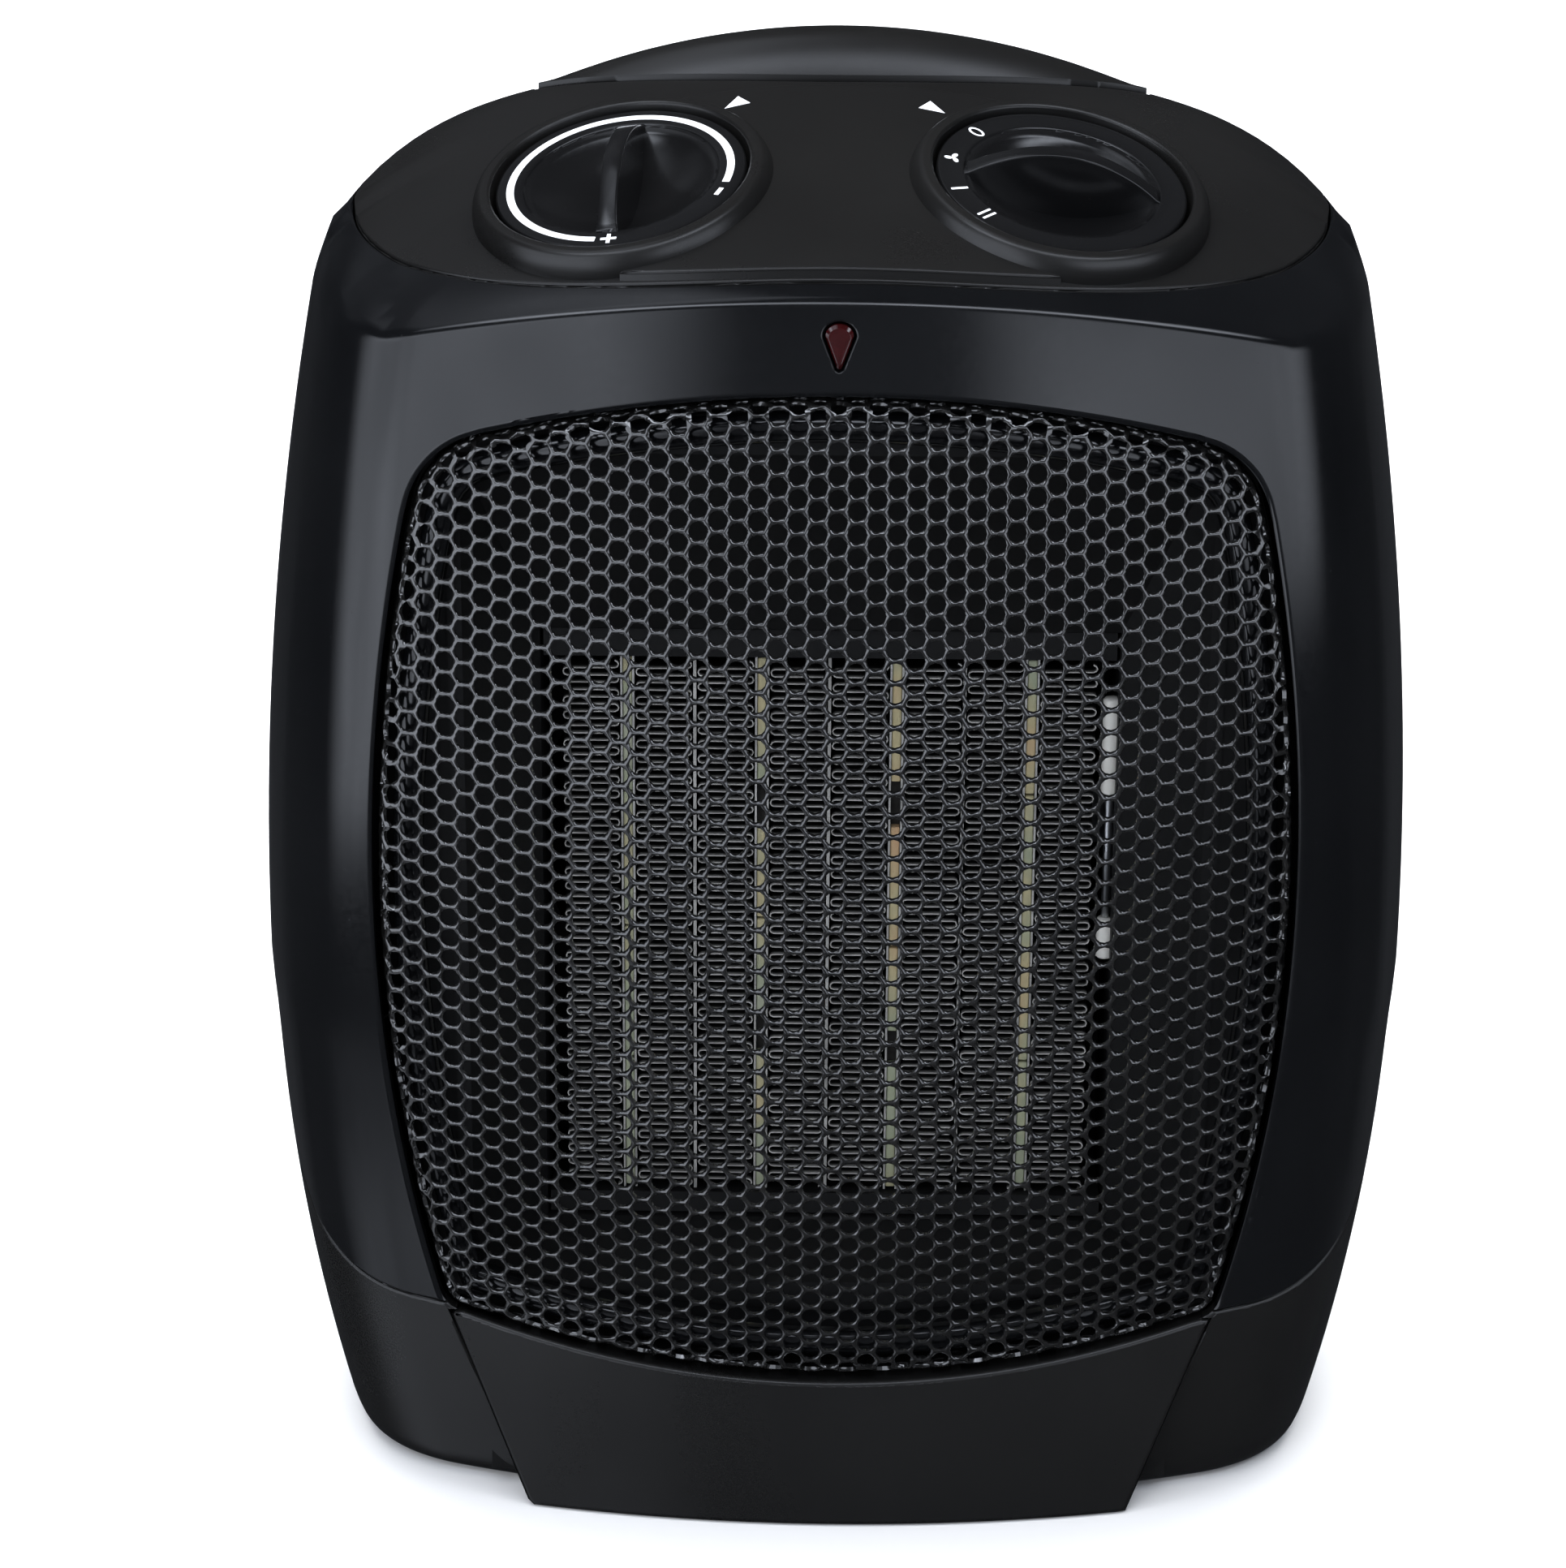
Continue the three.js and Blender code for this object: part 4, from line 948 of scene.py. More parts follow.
def make_lens():
    """Red drop with a bevelled rim, level with the case's front."""
    outline, centre, reach = lens_outline(0.001), np.array([0, LENS_Z - 1.2]), 2.6
    bevel = ((0, 3.0), (0, 0.35), (-0.06, 0.22), (-0.5, -0.12), (-0.6, -0.14), (-1.1, -0.1))
    rings = [on_front(centre + (outline - centre) * (1 + grow / reach), depth) for grow, depth in bevel]
    return smooth_below(skin("indicator_lens_drop", rings), 18)


def make_retainer():
    """The glossy bead behind the grille's rim that holds the sheet, with a wall back to the duct."""
    centre_in, radius, depth = 5.6, 2.5, 5.4
    outer = evenly(offset(opening_outline(1.2), -centre_in), 1.6)
    out = outline_normals(outer)
    front = wall_y(*outer.T) + depth
    rings = []
    for turn in np.radians(np.linspace(-20, 200, 17)):
        flat = outer + out * (radius * math.cos(turn))
        rings.append(np.column_stack([flat[:, 0], front - radius * math.sin(turn), flat[:, 1]]))
    for side in (-0.6, 0.6):
        flat = outer + out * (radius * side)
        rings.append(np.column_stack([flat[:, 0], np.full(len(flat), -52.4), flat[:, 1]]))
    rings = np.stack(rings, 1)
    count, columns = rings.shape[:2]
    faces = grid_faces(count + 1, columns, True) % (count * columns)
    return smooth_below(face_outwards(add_object("grille_retainer", rings.reshape(-1, 3), faces)), 50)


def make_pointers():
    """Printed triangles on the panel that point at the two dials."""
    points, faces = [], []
    for side, angle, radius, twist in (("left", 50, 25.4, -9), ("right", 135.5, 26.2, 7)):
        triangle = turned_outline([(0, 0), (4.2, -1.5), (4.2, 1.5)], twist)
        triangle = turned_outline(triangle, angle, radius)
        corners = [(KNOBS[side] @ Vector((x, y, 0))).xy for x, y in triangle]
        start = len(points)
        for lift in (1.04, 0.7):
            points += [(x, y, float(top_z(x, y)) + lift) for x, y in corners]
        faces += [[start + i for i in face] for face in
                  ((0, 1, 2), (5, 4, 3), (0, 3, 4, 1), (1, 4, 5, 2), (2, 5, 3, 0))]
    return face_outwards(add_object("dial_pointers", points, faces, smooth=False))


def lying(x, z):
    """Lays a turned body's axis along +Y."""
    return Matrix.Translation((x, 0, z)) @ Matrix.Rotation(math.radians(-90), 4, "X")


def make_cutoff():
    """The thermal cut-off beside the element: a metal link between two white sleeves."""
    x, y = 45.2, ELEMENT_FRONT + 2.5

    def stem(name, radius, low, high):
        soft = min(0.3, radius / 3)
        profile = [(0, low), (radius - soft, low), (radius, low + soft), (radius, high - soft),
                   (radius - soft, high), (0, high)]
        return turned(name, profile, 24, Matrix.Translation((x, y, 0)))

    sleeves = joined("cutoff_sleeves", [stem("sleeve", 1.5, 90.2, 97.2), stem("sleeve", 1.5, 119.3, 135.8)])
    link = stem("cutoff_link", 0.8, 97.4, 119.1)
    return sleeves, link


def make_grip_cup():
    """The rounded pocket for the fingers, under the handle at the rear."""
    cup = prism("grip_cup_pocket", evenly(rounded_rectangle(-42, 42, 200, 221.5, 4.8, 8), 1.2), 1, 11, 90)
    inside = prism("inside", evenly(rounded_rectangle(-40, 40, 202, 219.5, 3.0, 8), 1.2), 1, 13, 95)
    sources = Shading()
    body = case_body("trimming", azimuths=160)
    sources.add(cup)
    sources.add(inside, flip=True)
    sources.add(body)
    boolean(cup, "DIFFERENCE", inside)
    boolean(cup, "INTERSECT", body)
    sources.shade(cup)
    return cup


def make_gland():
    """Rubber bushing of the mains lead: a stepped flange with three grip rings inside."""
    bore, hub, flange, face = 3.6, 6.0, 8.5, GLAND_FACE
    profile = [(bore, face - 10), (hub, face - 10), (hub, face + 0.3), (flange - 0.4, face + 0.3),
               (flange, face + 0.7), (flange, face + 1.5), (flange - 0.3, face + 1.9),
               (hub + 0.7, face + 2.1), (hub + 0.2, face + 2.5), (hub - 0.4, face + 2.8),
               (bore + 0.5, face + 2.8), (bore, face + 2.4)]
    for k in range(3):
        at = face + 0.5 - 2.6 * k
        profile += [(bore, at + 0.5), (bore + 0.35, at), (bore, at - 0.5)]
    return turned("cord_gland_bushing", profile + profile[:1], 64, lying(0, GLAND_Z))


def make_foot(name, x, y):
    """A rubber foot with a rounded rim and a shallow ring in its tread."""
    tread = [(0, 0.25), (3.2, 0.25), (3.5, 0), (7.2, 0), (7.7, 0.12), (8, 0.45)]
    return turned(name + "_pad", tread + [(8, 3.9), (0, 3.9)], 48, Matrix.Translation((x, y, 0)))


def make_screw(place, x, z):
    """Pan-head screw with a cross recess, deep in its counterbore."""
    seat = float(wall_y(x, z, rear=True)) - 4
    profile = [(0, seat - 12), (1.2, seat - 12), (1.5, seat - 11.3), (1.5, seat + 0.3), (3.6, seat + 0.3),
               (3.7, seat + 0.6), (3.6, seat + 1.5), (3.1, seat + 2.2), (2.2, seat + 2.6), (0, seat + 2.9)]
    screw = turned(f"screw_{place}_crosshead", profile, 40, lying(x, z))
    boolean(screw, "DIFFERENCE", *[block("bar", x - a, x + a, seat + 1.2, seat + 4, z - b, z + b)
                                   for a, b in ((1.9, 0.42), (0.42, 1.9))])
    return smooth_below(screw, 35)


FAN_FRONT, FAN_DEPTH, FAN_HUB, FAN_RADIUS, FAN_BLADES = 2.0, 17.0, 13.0, 50.0, 7


def make_fan():
    """Seven twisted, cambered blades on a domed hub."""
    rear = FAN_FRONT + FAN_DEPTH
    profile = [(0, FAN_FRONT), (11.8, FAN_FRONT), (12.7, FAN_FRONT + 0.4), (FAN_HUB, FAN_FRONT + 1.2),
               (FAN_HUB, rear - 1), (12.4, rear), (0, rear)]
    hub = turned("fan_wheel", profile, 72, lying(0, FAN_Z))
    blades = []
    for k in range(FAN_BLADES):
        rings = []
        for share in np.linspace(0, 1, 9):
            radius = FAN_HUB - 1.0 + (FAN_RADIUS - FAN_HUB + 1.0) * share
            pitch = math.radians(58 - 22 * share)
            chord = 15 + 9 * share - 6 * max(share - 0.8, 0) / 0.2 * share
            along = np.linspace(-0.5, 0.5, 9)
            camber = 1.6 * (1 - (2 * along) ** 2)
            thick = 0.75 * (1 - (2 * along) ** 4) + 0.12
            section = np.vstack([zipped(along * chord, camber + thick),
                                 zipped(along * chord, camber - thick)[::-1]])
            u = section[:, 0] * math.cos(pitch) - section[:, 1] * math.sin(pitch)
            v = section[:, 0] * math.sin(pitch) + section[:, 1] * math.cos(pitch)
            turn = u / radius + 2 * math.pi * k / FAN_BLADES + 0.35 * share
            rings.append(zipped(radius * np.sin(turn), FAN_FRONT + FAN_DEPTH / 2 + v * 0.8,
                                   FAN_Z + radius * np.cos(turn)))
        blades.append(skin("blade", rings))
    boolean(hub, "UNION", *blades)
    boolean(hub, "DIFFERENCE", prism_along_y("bore", 1.9, 0, FAN_Z, -5, 40, 24))
    hub.data.polygons.foreach_set("use_smooth", [True] * len(hub.data.polygons))
    return smooth_below(hub, 45)


# ------------------------------------------------------------------ dials
BOWL_RADIUS, BOWL_DEPTH = 15.3, 5.3
GRIP_RISE = 5.4


def bowl_z(r):
    return FACE - BOWL_DEPTH * (1 - (r / BOWL_RADIUS) ** 2) ** 0.8


def dial_profile():
    outer = [(0, FACE - 8), (KNOB_RADIUS - 0.3, FACE - 7.0), (KNOB_RADIUS, FACE - 6.6)]
    turn = np.linspace(0, math.pi / 2, 5)
    edge = [(KNOB_RADIUS - 0.6 + 0.6 * math.cos(t), FACE - 0.6 + 0.6 * math.sin(t)) for t in turn]
    lip = [(BOWL_RADIUS + 0.75 - 0.6 * math.sin(t), FACE - 0.6 + 0.6 * math.cos(t)) for t in turn[:-1]]
    start = 0.985
    bowl = [(BOWL_RADIUS * start * s, bowl_z(BOWL_RADIUS * start * s)) for s in np.linspace(1, 0, 20)]
    return outer + edge + lip + bowl


def grip_rings():
    """Sections of the arched grip along the bowl: rounded on top, drafted at the sides."""
    rings = []
    for y in np.linspace(-BOWL_RADIUS, BOWL_RADIUS, 49) * 1.02:
        share = min(abs(y) / BOWL_RADIUS, 1)
        top = FACE - 0.04 + GRIP_RISE * (1 - share**2)
        low = min(bowl_z(min(abs(y), BOWL_RADIUS * 0.98)), FACE - 1.2) - 1
        half = 1.5 + 0.4 * share**8
        draft = 0.045 * (top - low)
        ring = [(-half - draft, y, low)]
        for t in np.linspace(math.pi, 0, 9):
            x = (half - 0.4) * np.sign(math.cos(t)) + 0.4 * math.cos(t)
            ring.append((x, y, top - 0.4 + 0.4 * math.sin(t)))
        ring.append((half + draft, y, low))
        rings.append(ring)
    return rings


def make_dial(name, matrix, turn):
    disc = turned(name + "_dial", dial_profile(), int(160 * DETAIL))
    grip = skin("grip", grip_rings())
    shading = Shading()
    shading.add(disc, angle=50)
    shading.add(grip, angle=50)
    boolean(disc, "UNION", grip)
    bore, low, high = 3.3, FACE - 12, FACE - 6.3
    boolean(disc, "DIFFERENCE", turned("shaft_hole", [(0, low), (bore, low), (bore, high), (0, high)], 40))
    shading.shade(disc, angle=40)
    place = in_metres(matrix) @ Matrix.Rotation(math.radians(turn), 4, "Z")
    move_with_normals(disc, place)
    return disc


def move_with_normals(obj, matrix):
    mesh = obj.data
    normals = read(mesh.corner_normals, "vector") @ np.array(matrix.to_3x3()).T
    mesh.transform(matrix)
    mesh.normals_split_custom_set(normals.tolist())


def print_marks(name, outlines, matrix, level):
    """Flat printed shapes, a few hundredths of a millimetre thick."""
    pieces = [prism(f"{name}_{k}", outline, 2, level - 0.05, level + 0.035)
              for k, outline in enumerate(outlines)]
    points, faces = [], []
    for piece in pieces:
        start = len(points)
        points += [v.co / MM for v in piece.data.vertices]
        faces += [[start + i for i in face.vertices] for face in piece.data.polygons]
    drop(*pieces)
    marks = add_object(name, points, faces, smooth=False)
    marks.data.transform(in_metres(matrix))
    return marks


def turned_outline(outline, angle, radius=0.0):
    """An outline drawn upright at the origin, set at a radius and an angle with its X along the radius."""
    a = math.radians(angle)
    c, s = math.cos(a), math.sin(a)
    x, y = np.asarray(outline, float).T
    x = x + radius
    return zipped(x * c - y * s, x * s + y * c)


def bar_outline(length, width):
    a, b = length / 2, width / 2
    return [(-a, -b), (a, -b), (a, b), (-a, b)]


def oval_ring(length, width, stroke):
    """An oval ring as one outline with a hairline cut."""
    turn = np.linspace(0, 2 * math.pi, 28) * 0.999
    outside = zipped(length / 2 * np.cos(turn), width / 2 * np.sin(turn))
    inside = zipped((length / 2 - stroke) * np.cos(turn), (width / 2 - stroke) * np.sin(turn))
    return np.vstack([outside, inside[::-1]])


def arc_band(r0, r1, first, last):
    turn = np.radians(np.linspace(first, last, 70))
    rim = zipped(np.cos(turn), np.sin(turn))
    return np.vstack([rim * r1, rim[::-1] * r0])


def fan_mark():
    """Three rounded blades round a hub."""
    turn = np.linspace(0, 2 * math.pi, 17)[:-1]
    blade = zipped(0.75 + 0.62 * np.cos(turn), 0.18 + 0.4 * np.sin(turn))
    hub = 0.3 * zipped(np.cos(turn), np.sin(turn))
    return [hub] + [turned_outline(blade, 90 + 120 * k) for k in range(3)]


MARK_RADIUS = 17.6


def make_marks():
    plus = [turned_outline(bar_outline(2.5, 0.6), a) for a in (0, 90)]
    plus = [turned_outline(p, 265, MARK_RADIUS) for p in plus]
    minus = turned_outline(bar_outline(0.75, 2.0), -27, MARK_RADIUS)
    heat = [arc_band(17.0, 18.2, -18, 258)] + plus + [minus]
    mode = [turned_outline(oval_ring(2.9, 1.9, 0.36), 141.5, MARK_RADIUS)]
    mode += [turned_outline(turned_outline(p, 30), 173, MARK_RADIUS) for p in fan_mark()]
    mode.append(turned_outline(bar_outline(2.8, 0.5), 202, MARK_RADIUS))
    mode += [turned_outline(np.add(bar_outline(2.8, 0.42), (0, s)), 227, MARK_RADIUS) for s in (-0.6, 0.6)]
    heat_marks = print_marks("heat_scale", heat, KNOBS["left"], FACE)
    mode_marks = print_marks("mode_marks", mode, KNOBS["right"], FACE)
    return heat_marks, mode_marks


# ------------------------------------------------------------------ perforated grille
HOLE_PITCH, HOLE_RADIUS = 3.53, 1.45
CELL_CORNER = HOLE_PITCH / math.sqrt(3)  # from a hole's centre to a corner of its cell
SHEET = 0.8
GRILLE_GAP, GRILLE_ROLL, GRILLE_SKIRT, GRILLE_SET_BACK = 0.9, 2.6, 4.4, 0.6
GRILLE_EDGE = GRILLE_SKIRT - GRILLE_ROLL * (1 - math.pi / 2)  # the cut edge, this far out in the flat


class Dish:
    """Folds the flat perforated sheet into the domed dish: over the case's front, then back round its rim."""

    def __init__(self):
        ring = opening_outline(0.8)
        self.ring = offset(ring, -GRILLE_GAP)
        self.out = outline_normals(self.ring)

    def reach(self, flat):
        """How far inside the rim a flat point is, and the nearest rim point and its outward direction."""
        gaps = np.linalg.norm(flat[:, None] - self.ring[None], axis=2)
        k = gaps.argmin(1)
        inside = -np.einsum("ij,ij->i", flat - self.ring[k], self.out[k])
        return inside, self.ring[k], self.out[k]

    def fold(self, flat, depth):
        """Place in space of flat (x, z) points, at a depth behind the outer face."""
        inside, rim, out = self.reach(flat)
        run = GRILLE_ROLL - inside  # length along the sheet from where the bend starts
        turn = np.clip(run / GRILLE_ROLL, 0, math.pi / 2)
        straight = np.maximum(run - GRILLE_ROLL * math.pi / 2, 0)
        radius = GRILLE_ROLL - depth
        bent = run > 0
        base = np.where(bent[:, None], rim - out * GRILLE_ROLL, flat)
        place = base + np.where(bent, radius * np.sin(turn), 0)[:, None] * out
        dome = wall_y(base[:, 0], base[:, 1]) + GRILLE_SET_BACK
        back = np.where(bent, GRILLE_ROLL - radius * np.cos(turn) + straight, depth)
        return zipped(place[:, 0], dome + back, place[:, 1])


def hole_centres(dish):
    """Staggered columns of holes that cover the face and most of the bend."""
    column = HOLE_PITCH * math.sqrt(3) / 2
    columns = int(82 / column)
    rows = int(110 / HOLE_PITCH) + 2
    centres = []
    for c in range(-columns, columns + 1):
        for r in range(-rows, rows + 1):
            centres.append((c * column, OPENING_WAIST + (r + 0.5 * (c % 2)) * HOLE_PITCH))
    centres = np.array(centres)
    return centres[dish.reach(centres)[0] > -GRILLE_EDGE + CELL_CORNER + 0.5]


def hem_triangles(dish, centres, cell):
    """The plain border between the outermost holes and the cut edge: flat points, triangles, cut edges."""
    count = len(cell)
    corners = (centres[:, None] + cell[None]).reshape(-1, 2)
    keys = [tuple(k) for k in np.round(corners, 3)]
    uses = {}
    for n in range(len(centres)):
        for i in range(count):
            a, b = keys[n * count + i], keys[n * count + (i + 1) % count]
            uses.setdefault(frozenset((a, b)), []).append((a, b))
    rim_edges = [pairs[0] for pairs in uses.values() if len(pairs) == 1]
    points = sorted({p for edge in rim_edges for p in edge})
    index = {p: k for k, p in enumerate(points)}
    edges = [(index[a], index[b]) for a, b in rim_edges]
    cut = evenly(offset(dish.ring, GRILLE_EDGE), 1.2)
    start = len(points)
    points += [tuple(p) for p in cut]
    edges += [(start + k, start + (k + 1) % len(cut)) for k in range(len(cut))]
    for step in range(1, 12):
        loop = evenly(offset(dish.ring, GRILLE_EDGE - 0.7 * step), 1.1)
        gap = np.linalg.norm(loop[:, None] - centres[None], axis=2).min(1)
        points += [tuple(p) for p in loop[gap > CELL_CORNER + 0.2]]
    flat, _, faces, *_ = delaunay_2d_cdt([Vector(p) for p in points], edges, [], 1, 1e-5)
    flat = np.array([p[:] for p in flat])
    place = {tuple(p): k for k, p in enumerate(np.round(flat, 3))}
    walls = {frozenset((place[a], place[b])) for a, b in rim_edges}
    users = {}
    for n, face in enumerate(faces):
        for edge in zip(face, [*face[1:], face[0]]):
            users.setdefault(frozenset(edge), []).append((n, edge))
    ends = [pairs[0] for pairs in users.values() if len(pairs) == 1]
    todo = [n for n, _ in ends]
    kept = set(todo)
    while todo:
        face = faces[todo.pop()]
        for edge in map(frozenset, zip(face, [*face[1:], face[0]])):
            fresh = [] if edge in walls else [n for n, _ in users[edge] if n not in kept]
            kept.update(fresh)
            todo += fresh
    return flat, np.array([faces[n] for n in sorted(kept)]), [edge for _, edge in ends]


def make_grille():
    """A dished sheet with about two thousand round holes whose webs are rounded over."""
    dish = Dish()
    centres = hole_centres(dish)
    sides = 12
    turn = np.arange(sides) / sides * 2 * math.pi
    ray = zipped(np.cos(turn), np.sin(turn))
    cell = np.where(np.arange(sides)[:, None] % 2 == 0, CELL_CORNER, HOLE_PITCH / 2) * ray
    loops = [(cell, 0.0), (ray * (HOLE_RADIUS + 0.05), 0.17), (ray * HOLE_RADIUS, SHEET), (cell, SHEET)]
    points = [dish.fold((centres[:, None] + loop[None]).reshape(-1, 2), depth) for loop, depth in loops]
    per = len(centres) * sides
    k = np.arange(len(centres))[:, None] * sides
    i = np.arange(sides)[None]
    faces = []
    for layer in range(len(loops) - 1):
        a, b = k + i + layer * per, k + (i + 1) % sides + layer * per
        faces += zipped(a, b, b + per, a + per).reshape(-1, 4).tolist()
    flat, hem, ends = hem_triangles(dish, centres, cell)
    start, back = len(loops) * per, len(loops) * per + len(flat)
    points += [dish.fold(flat, 0.0), dish.fold(flat, SHEET)]
    faces += (hem + start).tolist() + (hem[:, ::-1] + back).tolist()
    faces += [[b + start, a + start, a + back, b + back] for a, b in ends]
    grille = add_object("front_grille_sheet", np.vstack(points), faces)

    def weld(bm):
        bmesh.ops.remove_doubles(bm, verts=bm.verts, dist=0.01 * MM)
        bmesh.ops.delete(bm, geom=[v for v in bm.verts if not v.link_faces], context="VERTS")
        bmesh.ops.recalc_face_normals(bm, faces=bm.faces)

    rework(grille.data, weld)
    return smooth_below(grille, 65)


# ------------------------------------------------------------------ heating element
ELEMENT_LEFT, ELEMENT_FRONT, ELEMENT_BACK = -45.0, -35.0, -20.0
ELEMENT_LOW, ELEMENT_HIGH = 48.0, 143.0
BAR_PITCH, BAR_WIDTH, PLATE = 22.0, 2.6, 0.8
FIN_WIDTH = (BAR_PITCH - BAR_WIDTH - PLATE) / 2
FIN_PITCH, FIN_SHEET = 2.5, 0.2


def serpentine(width, low, high, pitch):
    """Centre line of a corrugated strip that runs up between two plates, as (x, z) points."""
    bend = pitch / 4
    turn = np.linspace(-math.pi / 2, math.pi / 2, 5)
    line = []
    z, side = low + bend, 1
    while z < high - pitch / 2:
        middle = np.array([side * (width / 2 - bend), z])
        line.append(zipped(side * bend * np.cos(turn), bend * np.sin(turn)) + middle)
        z += pitch / 2
        side = -side
    return np.vstack(line)


def make_fins(name, x0, x1):
    """A corrugated aluminium strip, brazed between a bar and a plate."""
    line = serpentine(x1 - x0 - 0.25, ELEMENT_LOW + 0.3, ELEMENT_HIGH - 0.3, FIN_PITCH) + ((x0 + x1) / 2, 0)
    along = unit(np.gradient(line, axis=0))
    across = zipped(along[:, 1], -along[:, 0]) * FIN_SHEET / 2
    ring = np.vstack([line + across, (line - across)[::-1]])
    count = len(line)
    wave = 0.12 * np.sin(np.arange(count) * 1.7)
    wave = np.concatenate([wave, wave[::-1]])
    points = [zipped(ring[:, 0], y + wave, ring[:, 1])
              for y in (ELEMENT_FRONT + 0.3, ELEMENT_BACK - 0.3)]
    total = 2 * count
    a = np.arange(total)
    b = (a + 1) % total
    faces = zipped(a, b, b + total, a + total).tolist()
    k = np.arange(count - 1)
    m = total - 1 - k
    faces += zipped(k, m, m - 1, k + 1).tolist()
    faces += zipped(k + total, k + 1 + total, m - 1 + total, m + total).tolist()
    return smooth_below(face_outwards(add_object(name, np.vstack(points), faces)), 40)


def soften(obj, width, segments=2, angle=30):
    """Rounds the edges of a plain solid that bend by more than an angle in degrees."""
    def bevel(bm):
        sharp = [e for e in bm.edges if e.is_manifold and e.calc_face_angle(0) > math.radians(angle)]
        bmesh.ops.bevel(bm, geom=sharp, offset=width * MM, segments=segments, profile=0.5,
                        affect="EDGES", clamp_overlap=True)

    rework(obj.data, bevel)
    obj.data.polygons.foreach_set("use_smooth", [True] * len(obj.data.polygons))
    return smooth_below(obj, 45)


def joined(name, pieces):
    """Several solids as one object."""
    bpy.context.view_layer.update()
    bm = bmesh.new()
    for piece in pieces:
        bm.from_mesh(piece.data)
    mesh = bpy.data.meshes.new(name)
    bm.to_mesh(mesh)
    bm.free()
    drop(*pieces)
    obj = bpy.data.objects.new(name, mesh)
    bpy.context.scene.collection.objects.link(obj)
    return obj


# Heights of the ceramic stones in each bar, from the bottom up. Dark spacers fill the gaps between them.
STONES = {
    1: [(48.3, 71.6), (72.0, 95.4), (95.8, 119.2), (119.6, 142.7)],
    2: [(48.3, 73.0), (79.5, 97.0), (97.4, 113.8), (121.0, 142.7)],
    3: [(48.3, 71.0), (77.0, 92.0), (92.4, 113.5), (121.5, 142.7)],
    4: [(48.3, 71.6), (72.0, 95.4), (95.8, 119.2), (119.6, 142.7)],
}


def make_bar(number, centre):
    """Ceramic stones between two aluminium electrode strips, with dark spacers in the gaps."""
    half, strip = BAR_WIDTH / 2 - 0.15, 0.35
    front, back = ELEMENT_FRONT + 0.4, ELEMENT_BACK
    levels = STONES[number]

    def stack(name, narrow, y0, y1, spans, *bevel):
        x0, x1 = centre - half + narrow, centre + half - narrow
        pieces = [soften(block("piece", x0, x1, y0, y1, *span), *bevel) for span in spans]
        return joined(f"{name}_{number}", pieces)

    strips = [soften(block("strip", *sorted((centre + s * half, centre + s * (half - strip))),
                           front - 0.2, back, ELEMENT_LOW, ELEMENT_HIGH), 0.08) for s in (-1, 1)]
    gaps = [(below[1] + 0.1, above[0] - 0.1) for below, above in zip(levels, levels[1:])]
    return (joined(f"electrodes_{number}", strips),
            stack("ptc_stones", 0.37, front + 0.15, back - 0.5, levels, 0.25, 3),
            stack("bar_spacers", 0.4, front + 1.5, back - 0.6, gaps, 0.05, 1))


# ------------------------------------------------------------------ materials
class Tree:
    """A node tree, built by short calls."""

    def __init__(self, tree):
        self.tree = tree

    def node(self, kind, **values):
        made = self.tree.nodes.new(kind)
        for key, value in values.items():
            setattr(made, key, value)
        return made

    def link(self, output, socket):
        self.tree.links.new(output, socket)

    def math(self, operation, *terms):
        made = self.node("ShaderNodeMath", operation=operation)
        for socket, term in zip(made.inputs, terms):
            if isinstance(term, (int, float)):
                socket.default_value = term
            else:
                self.link(term, socket)
        return made.outputs[0]

    def spread(self, value, low, high, out_low, out_high, kind="LINEAR"):
        made = self.node("ShaderNodeMapRange", interpolation_type=kind)
        names = "From Min", "From Max", "To Min", "To Max"
        for socket, number in zip(names, (low, high, out_low, out_high)):
            made.inputs[socket].default_value = number
        self.link(value, made.inputs["Value"])
        return made.outputs["Result"]


class Nodes(Tree):
    """A material's node tree."""

    def __init__(self, name):
        self.material = bpy.data.materials.new(name)
        self.material.use_nodes = True
        super().__init__(self.material.node_tree)
        self.shader = self.tree.nodes["Principled BSDF"]
        self.place = self.node("ShaderNodeTexCoord").outputs["Object"]

    def stretched(self, scale):
        """Object coordinates scaled along each axis."""
        mapping = self.node("ShaderNodeMapping")
        mapping.inputs["Scale"].default_value = scale
        self.link(self.place, mapping.inputs["Vector"])
        return mapping.outputs["Vector"]

    def noise(self, scale, detail, place=None):
        made = self.node("ShaderNodeTexNoise")
        made.inputs["Scale"].default_value = scale
        made.inputs["Detail"].default_value = detail
        self.link(place or self.place, made.inputs["Vector"])
        return made.outputs["Fac"]

    def cells(self, scale):
        made = self.node("ShaderNodeTexVoronoi")
        made.inputs["Scale"].default_value = scale
        self.link(self.place, made.inputs["Vector"])
        return made.outputs["Distance"]

    def ramp(self, value, *stops):
        made = self.node("ShaderNodeValToRGB")
        elements = made.color_ramp.elements
        while len(elements) < len(stops):
            elements.new(0.5)
        for element, (at, colour) in zip(elements, stops):
            element.position = at
            element.color = (*colour, 1)
        self.link(value, made.inputs["Fac"])
        return made.outputs["Color"]

    def bump(self, height, strength, distance_mm):
        made = self.node("ShaderNodeBump")
        made.inputs["Strength"].default_value = strength
        made.inputs["Distance"].default_value = distance_mm * MM
        self.link(height, made.inputs["Height"])
        self.link(made.outputs["Normal"], self.shader.inputs["Normal"])

    def colour(self, output):
        self.link(output, self.shader.inputs["Base Color"])

    def roughness(self, output):
        self.link(output, self.shader.inputs["Roughness"])

    def fixed(self, **values):
        for name, value in values.items():
            self.shader.inputs[name.replace("_", " ")].default_value = value


